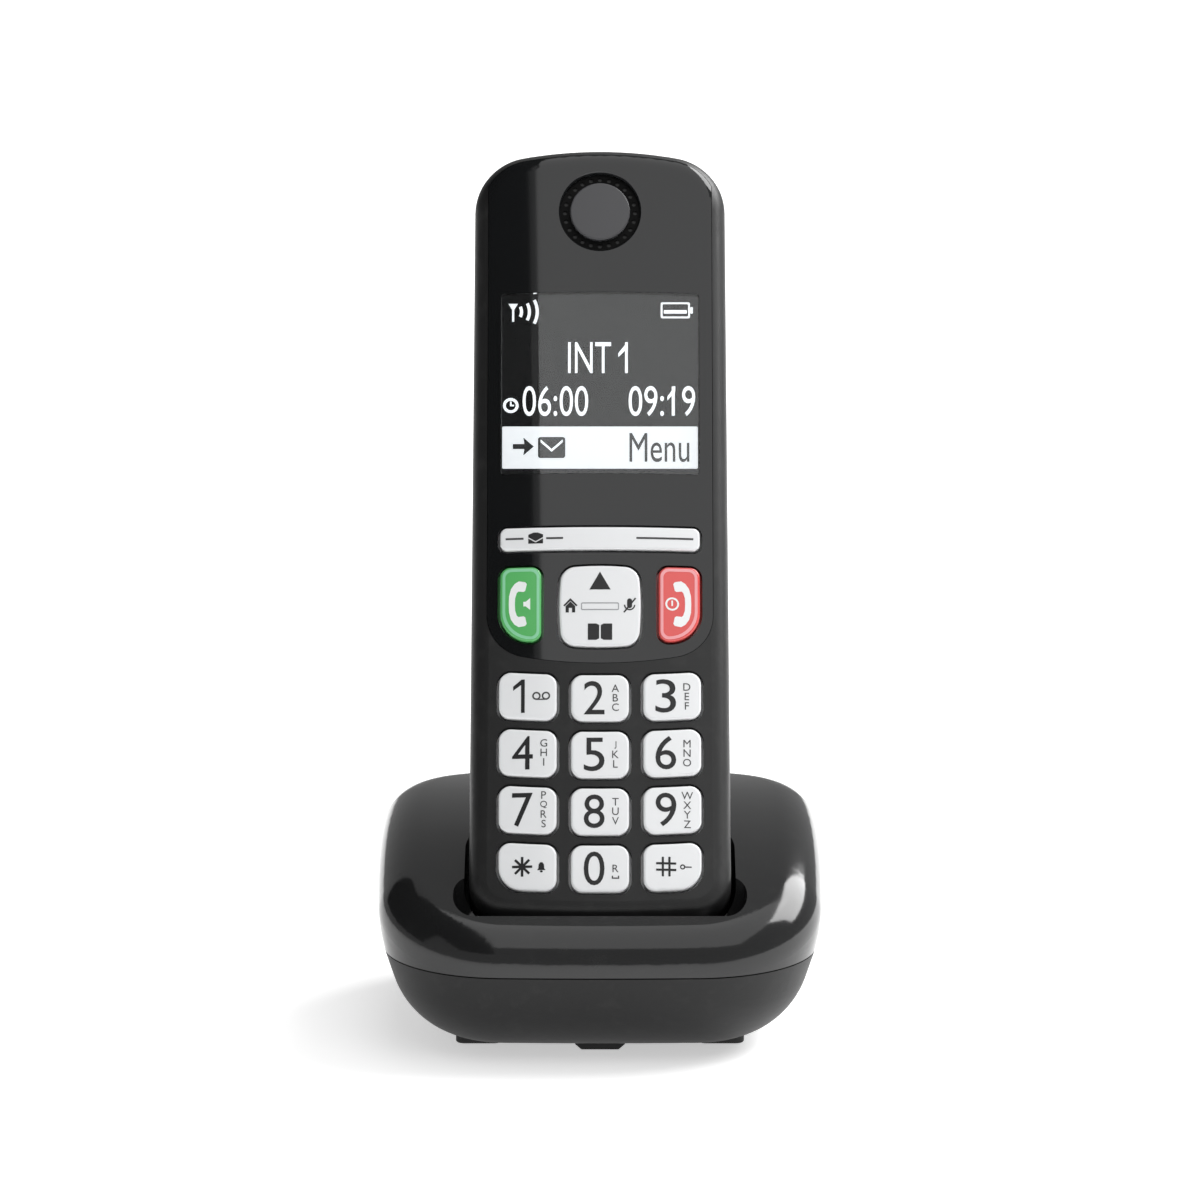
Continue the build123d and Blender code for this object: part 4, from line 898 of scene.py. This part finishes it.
# ------------------------------------------------------------------ display
@dataclass
class Display:
    """Lit content of the display, which lies on its glass behind the window."""

    place: HandsetFrame
    digit_height: float = 6.0

    def build(self) -> None:
        """Draws the whole standby picture."""
        art = Artwork(self.place, "lcd_glass", "handset", "lcd_glass")
        x0, x1, z0, z1 = self.place.extent("display_window")
        x, top = (x0 + x1) / 2, z1 + 1.3
        lit = FINISHES.lit
        mast = [(-0.2, -2.0), (0.2, -2.0), (0.2, 0.4), (0.9, 1.6), (-0.9, 1.6), (-0.2, 0.4)]
        art.shape("signal_mast", [(x - 16.6 + u, top - 4.2 + v) for u, v in mast], lit)
        for i in range(3):
            wave = arc_strip(x - 17.2, top - 4.2, 2.2 + 1.5 * i, 0.6, -27, 27)
            art.shape(f"signal_wave_{i}", wave, lit)
        outer = rounded(x + 14.4, top - 3.9, 5.6, 3.2, (0.3,) * 4, 3)
        inner = rounded(x + 14.4, top - 3.9, 4.9, 2.5, (0.2,) * 4, 3)
        art.band("battery_outline", outer, inner, lit)
        art.shape("battery_level", rounded(x + 14.4, top - 4.2, 4.4, 0.7, (0.1,) * 4, 2), lit)
        art.shape("battery_nub", rounded(x + 17.5, top - 3.9, 0.5, 1.3, (0.1,) * 4, 2), lit)
        art.text("display_name", "INT 1", (x - 0.4, top - 13.4), 6.2, lit, width=11.4)
        flag = [(-1.5, 0.9), (0.25, 3.1), (0.25, 1.9), (-1.5, 0.1)]
        art.shape("display_name_flag", [(x + 5.0 + u, top - 13.4 + v) for u, v in flag], lit, 0.01)
        left, right, level = x - 8.5, x + 11.8, top - 22.1
        art.text("display_alarm_time", "06:00", (left, level), self.digit_height, lit, width=12.5)
        art.text("display_clock", "09:19", (right, level), self.digit_height, lit, width=12.7)
        flag = [(-1.3, 0.9), (0.2, 3.0), (0.2, 1.9), (-1.3, 0.1)]
        art.shape("display_clock_flag", [(x + 14.15 + u, level + v) for u, v in flag], lit, 0.01)
        outer = ellipse(x - 17.0, level - 0.9, 1.5, 1.5)
        inner = ellipse(x - 17.0, level - 0.9, 0.95, 0.95)
        art.band("alarm_ring", outer, inner, lit)
        hands = [(-0.15, -0.15), (0.6, -0.15), (0.6, 0.15), (0.15, 0.15), (0.15, 0.8), (-0.15, 0.8)]
        art.shape("alarm_hands", [(x - 17.0 + u, level - 0.9 + v) for u, v in hands], lit)
        bar = top - 31.4
        art.shape("menu_bar", rounded(x, bar, 37.2, 8.4, (0.2,) * 4, 2), FINISHES.lit_soft)
        dark = FINISHES.unlit
        art.text("menu_word", "Menu", (x + 11.3, bar), 5.8, dark, width=11.4, lift=0.04)
        arrow = [
            (-2.0, 0.9), (0.2, 0.9), (0.0, 2.2), (2.0, 0.4), (0.0, -1.4), (0.2, -0.1), (-2.0, -0.1)
        ]
        art.shape("menu_arrow", [(x - 14.6 + u, bar - 0.2 + v) for u, v in arrow][::-1], dark, 0.04)
        art.shape("menu_envelope", rounded(x - 9.2, bar, 5.2, 4.2, (0.5,) * 4, 4), dark, 0.04)
        vee = [(-2.1, 1.6), (0, -0.3), (2.1, 1.6), (2.1, 1.05), (0, -0.85), (-2.1, 1.05)]
        art.shape("menu_envelope_flap", [(x - 9.2 + u, bar + v) for u, v in vee][::-1], lit, 0.1)
        LOG.info("display: standby picture")


# ------------------------------------------------------------------ whole telephone
@dataclass
class Dressing:
    """Finish of every CAD node, by the start of its name."""

    finishes: tuple[tuple[str, Finish], ...] = (
        ("handset_front_shell", FINISHES.housing),
        ("handset_rear_shell", FINISHES.housing),
        ("battery_cover", FINISHES.housing),
        ("base_top_shell", FINISHES.gloss_top),
        ("base_bottom_shell", FINISHES.bottom),
        ("paging_key", FINISHES.bottom),
        ("paging_switch", FINISHES.socket),
        ("display_fascia", FINISHES.fascia),
        ("display_window", FINISHES.window),
        ("lcd_glass", FINISHES.display),
        ("lcd_light_guide", FINISHES.guide),
        ("lcd_frame", FINISHES.inner),
        ("charge_pin_carrier", FINISHES.inner),
        ("nav_pivot_ball", FINISHES.inner),
        ("earpiece_cap", FINISHES.earpiece),
        ("earpiece_grille", FINISHES.grille),
        ("earpiece_speaker", FINISHES.speaker),
        ("ringer_speaker", FINISHES.speaker),
        ("microphone", FINISHES.speaker),
        ("key_mat", FINISHES.silicone),
        ("key_domes", FINISHES.steel),
        ("key_talk", FINISHES.key_green),
        ("key_end", FINISHES.key_red),
        ("key_", FINISHES.key),
        ("handset_board", FINISHES.board),
        ("base_board", FINISHES.board),
        ("charge_pads", FINISHES.gold),
        ("charge_pin_springs", FINISHES.nickel),
        ("charge_pin_", FINISHES.gold),
        ("battery_springs", FINISHES.nickel),
        ("battery_plates", FINISHES.nickel),
        ("battery_cell_", FINISHES.cell),
        ("line_socket", FINISHES.socket),
        ("power_socket", FINISHES.socket),
        ("base_capacitor", FINISHES.capacitor),
        ("foot_", FINISHES.rubber),
        ("", FINISHES.steel),
    )

    def build(self) -> None:
        """Puts each finish on its nodes."""
        for node, obj in frame["nodes"].items():
            finish = next(f for start, f in self.finishes if node.startswith(start))
            if not obj.data.materials:
                obj.data.materials.append(finish.material())
            for slot in obj.material_slots:
                slot.material = finish.material()
        LOG.info("dressed %d nodes", len(frame["nodes"]))


@dataclass
class Studio:
    """Pale floor, soft lights and the camera."""

    elevation: float = 13.5
    distance: float = 1.5
    aim_height: float = 0.07
    lens: float = 236.8
    shift_y: float = 0.0482
    floor_size: float = 6.0

    def build(self) -> None:
        """Builds floor, lights and camera."""
        self.floor()
        self.world()
        bpy.context.scene.view_settings.view_transform = "Standard"
        self.softbox(
            "overhead_box", azimuth=0, elevation=77, distance=1.3, size=(1.2, 1.9), radiance=1.1,
            shift=0.36,
        )
        self.softbox(
            "right_rear_box", azimuth=118, elevation=42, distance=1.3, size=(1.15, 0.8),
            radiance=9.0,
        )
        above, left = self.direction(0, 70), self.direction(-102, 36)
        beside_overhead_box = above * 1.28 + Vector((-0.75, 0, 0))
        self.dark_card("dark_card_front", place=beside_overhead_box, facing=above, size=(1.0, 2.7))
        self.dark_card("dark_card_left", place=left * 1.4, facing=left, size=(1.9, 1.5))
        self.camera()
        LOG.info("studio: floor, lights and camera")

    def direction(self, azimuth: float, elevation: float) -> Vector:
        """Unit vector from the telephone towards a place in the studio."""
        a, e = math.radians(azimuth), math.radians(elevation)
        return Vector((math.sin(a) * math.cos(e), -math.cos(a) * math.cos(e), math.sin(e)))

    def floor(self) -> None:
        """Pale floor."""
        half = self.floor_size / 2
        low = CAD_BOX[0].z
        mesh = bpy.data.meshes.new("floor")
        corners = [(x * half, y * half, low) for x, y in ((-1, -1), (1, -1), (1, 1), (-1, 1))]
        mesh.from_pydata(corners, [], [(0, 1, 2, 3)])
        floor = bpy.data.objects.new("floor", mesh)
        bpy.context.scene.collection.objects.link(floor)
        finish = Finish("pale_floor", (0.9, 0.9, 0.9), 0.7, grain=0.0, mottle=0.01, glow=0.5)
        mesh.materials.append(finish.material())

    def world(self) -> None:
        """Even grey surroundings."""
        world = bpy.data.worlds.new("studio")
        world.use_nodes = True
        world.node_tree.nodes["Background"].inputs["Color"].default_value = (1, 1, 1, 1)
        world.node_tree.nodes["Background"].inputs["Strength"].default_value = 0.36
        bpy.context.scene.world = world

    def softbox(
        self, name: str, azimuth: float, elevation: float, distance: float,
        size: tuple[float, float], radiance: float, shift: float = 0.0,
    ) -> None:
        """Rectangular soft light that faces the telephone.

        Args:
            name: Light name.
            azimuth: Degrees round from the front, positive to the right.
            elevation: Degrees above the floor.
            distance: Metres from the telephone.
            size: Width and height in metres.
            radiance: Brightness of its face.
            shift: Metres that it is moved to the right of that place.
        """
        light = bpy.data.lights.new(name, "AREA")
        light.shape = "RECTANGLE"
        light.size, light.size_y = size
        light.energy = radiance * math.pi * size[0] * size[1]
        holder = bpy.data.objects.new(name, light)
        bpy.context.scene.collection.objects.link(holder)
        towards = self.direction(azimuth, elevation)
        holder.location = towards * distance + Vector((shift, 0, self.aim_height))
        holder.rotation_euler = towards.to_track_quat("Z", "Y").to_euler()

    def dark_card(
        self, name: str, place: Vector, facing: Vector, size: tuple[float, float]
    ) -> None:
        """Black card, seen only in reflections.

        Args:
            name: Name of the card.
            place: Its middle, from the point that the camera aims at.
            facing: Direction that its back faces.
            size: Width and height in metres.
        """
        across = Vector((0, 0, 1)).cross(facing).normalized() * size[0] / 2
        rise = facing.cross(across).normalized() * size[1] / 2
        centre = place + Vector((0, 0, self.aim_height))
        corners = [centre + across * a + rise * b for a, b in ((-1, -1), (1, -1), (1, 1), (-1, 1))]
        mesh = bpy.data.meshes.new(name)
        mesh.from_pydata(corners, [], [(0, 1, 2, 3)])
        card = bpy.data.objects.new(name, mesh)
        bpy.context.scene.collection.objects.link(card)
        finish = Finish("black_felt", (0.002, 0.002, 0.002), 1.0, grain=0.0, specular=0.0)
        mesh.materials.append(finish.material())
        card.visible_camera = False
        card.visible_shadow = False
        card.visible_diffuse = False
        card.visible_transmission = False

    def camera(self) -> None:
        """Long lens from the front, a little above the base."""
        data = bpy.data.cameras.new("camera")
        data.lens = self.lens
        data.shift_y = self.shift_y
        camera = bpy.data.objects.new("camera", data)
        bpy.context.scene.collection.objects.link(camera)
        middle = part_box("base_top_shell")
        y = (middle[0].y + middle[1].y) / 2
        towards = self.direction(0, self.elevation)
        camera.location = towards * self.distance + Vector((0, y, self.aim_height))
        camera.rotation_euler = towards.to_track_quat("Z", "Y").to_euler()
        bpy.context.scene.camera = camera


def main() -> None:
    """Builds the telephone's looks in order."""
    logging.basicConfig(level=logging.INFO, format="%(name)s: %(message)s")
    Dressing().build()
    place = HandsetFrame()
    for kind in (NumberKeys, CallKeys, FourWayKey, DisplayKey, Display):
        kind(place).build()
    Studio().build()


if __name__ == "__main__":
    main()
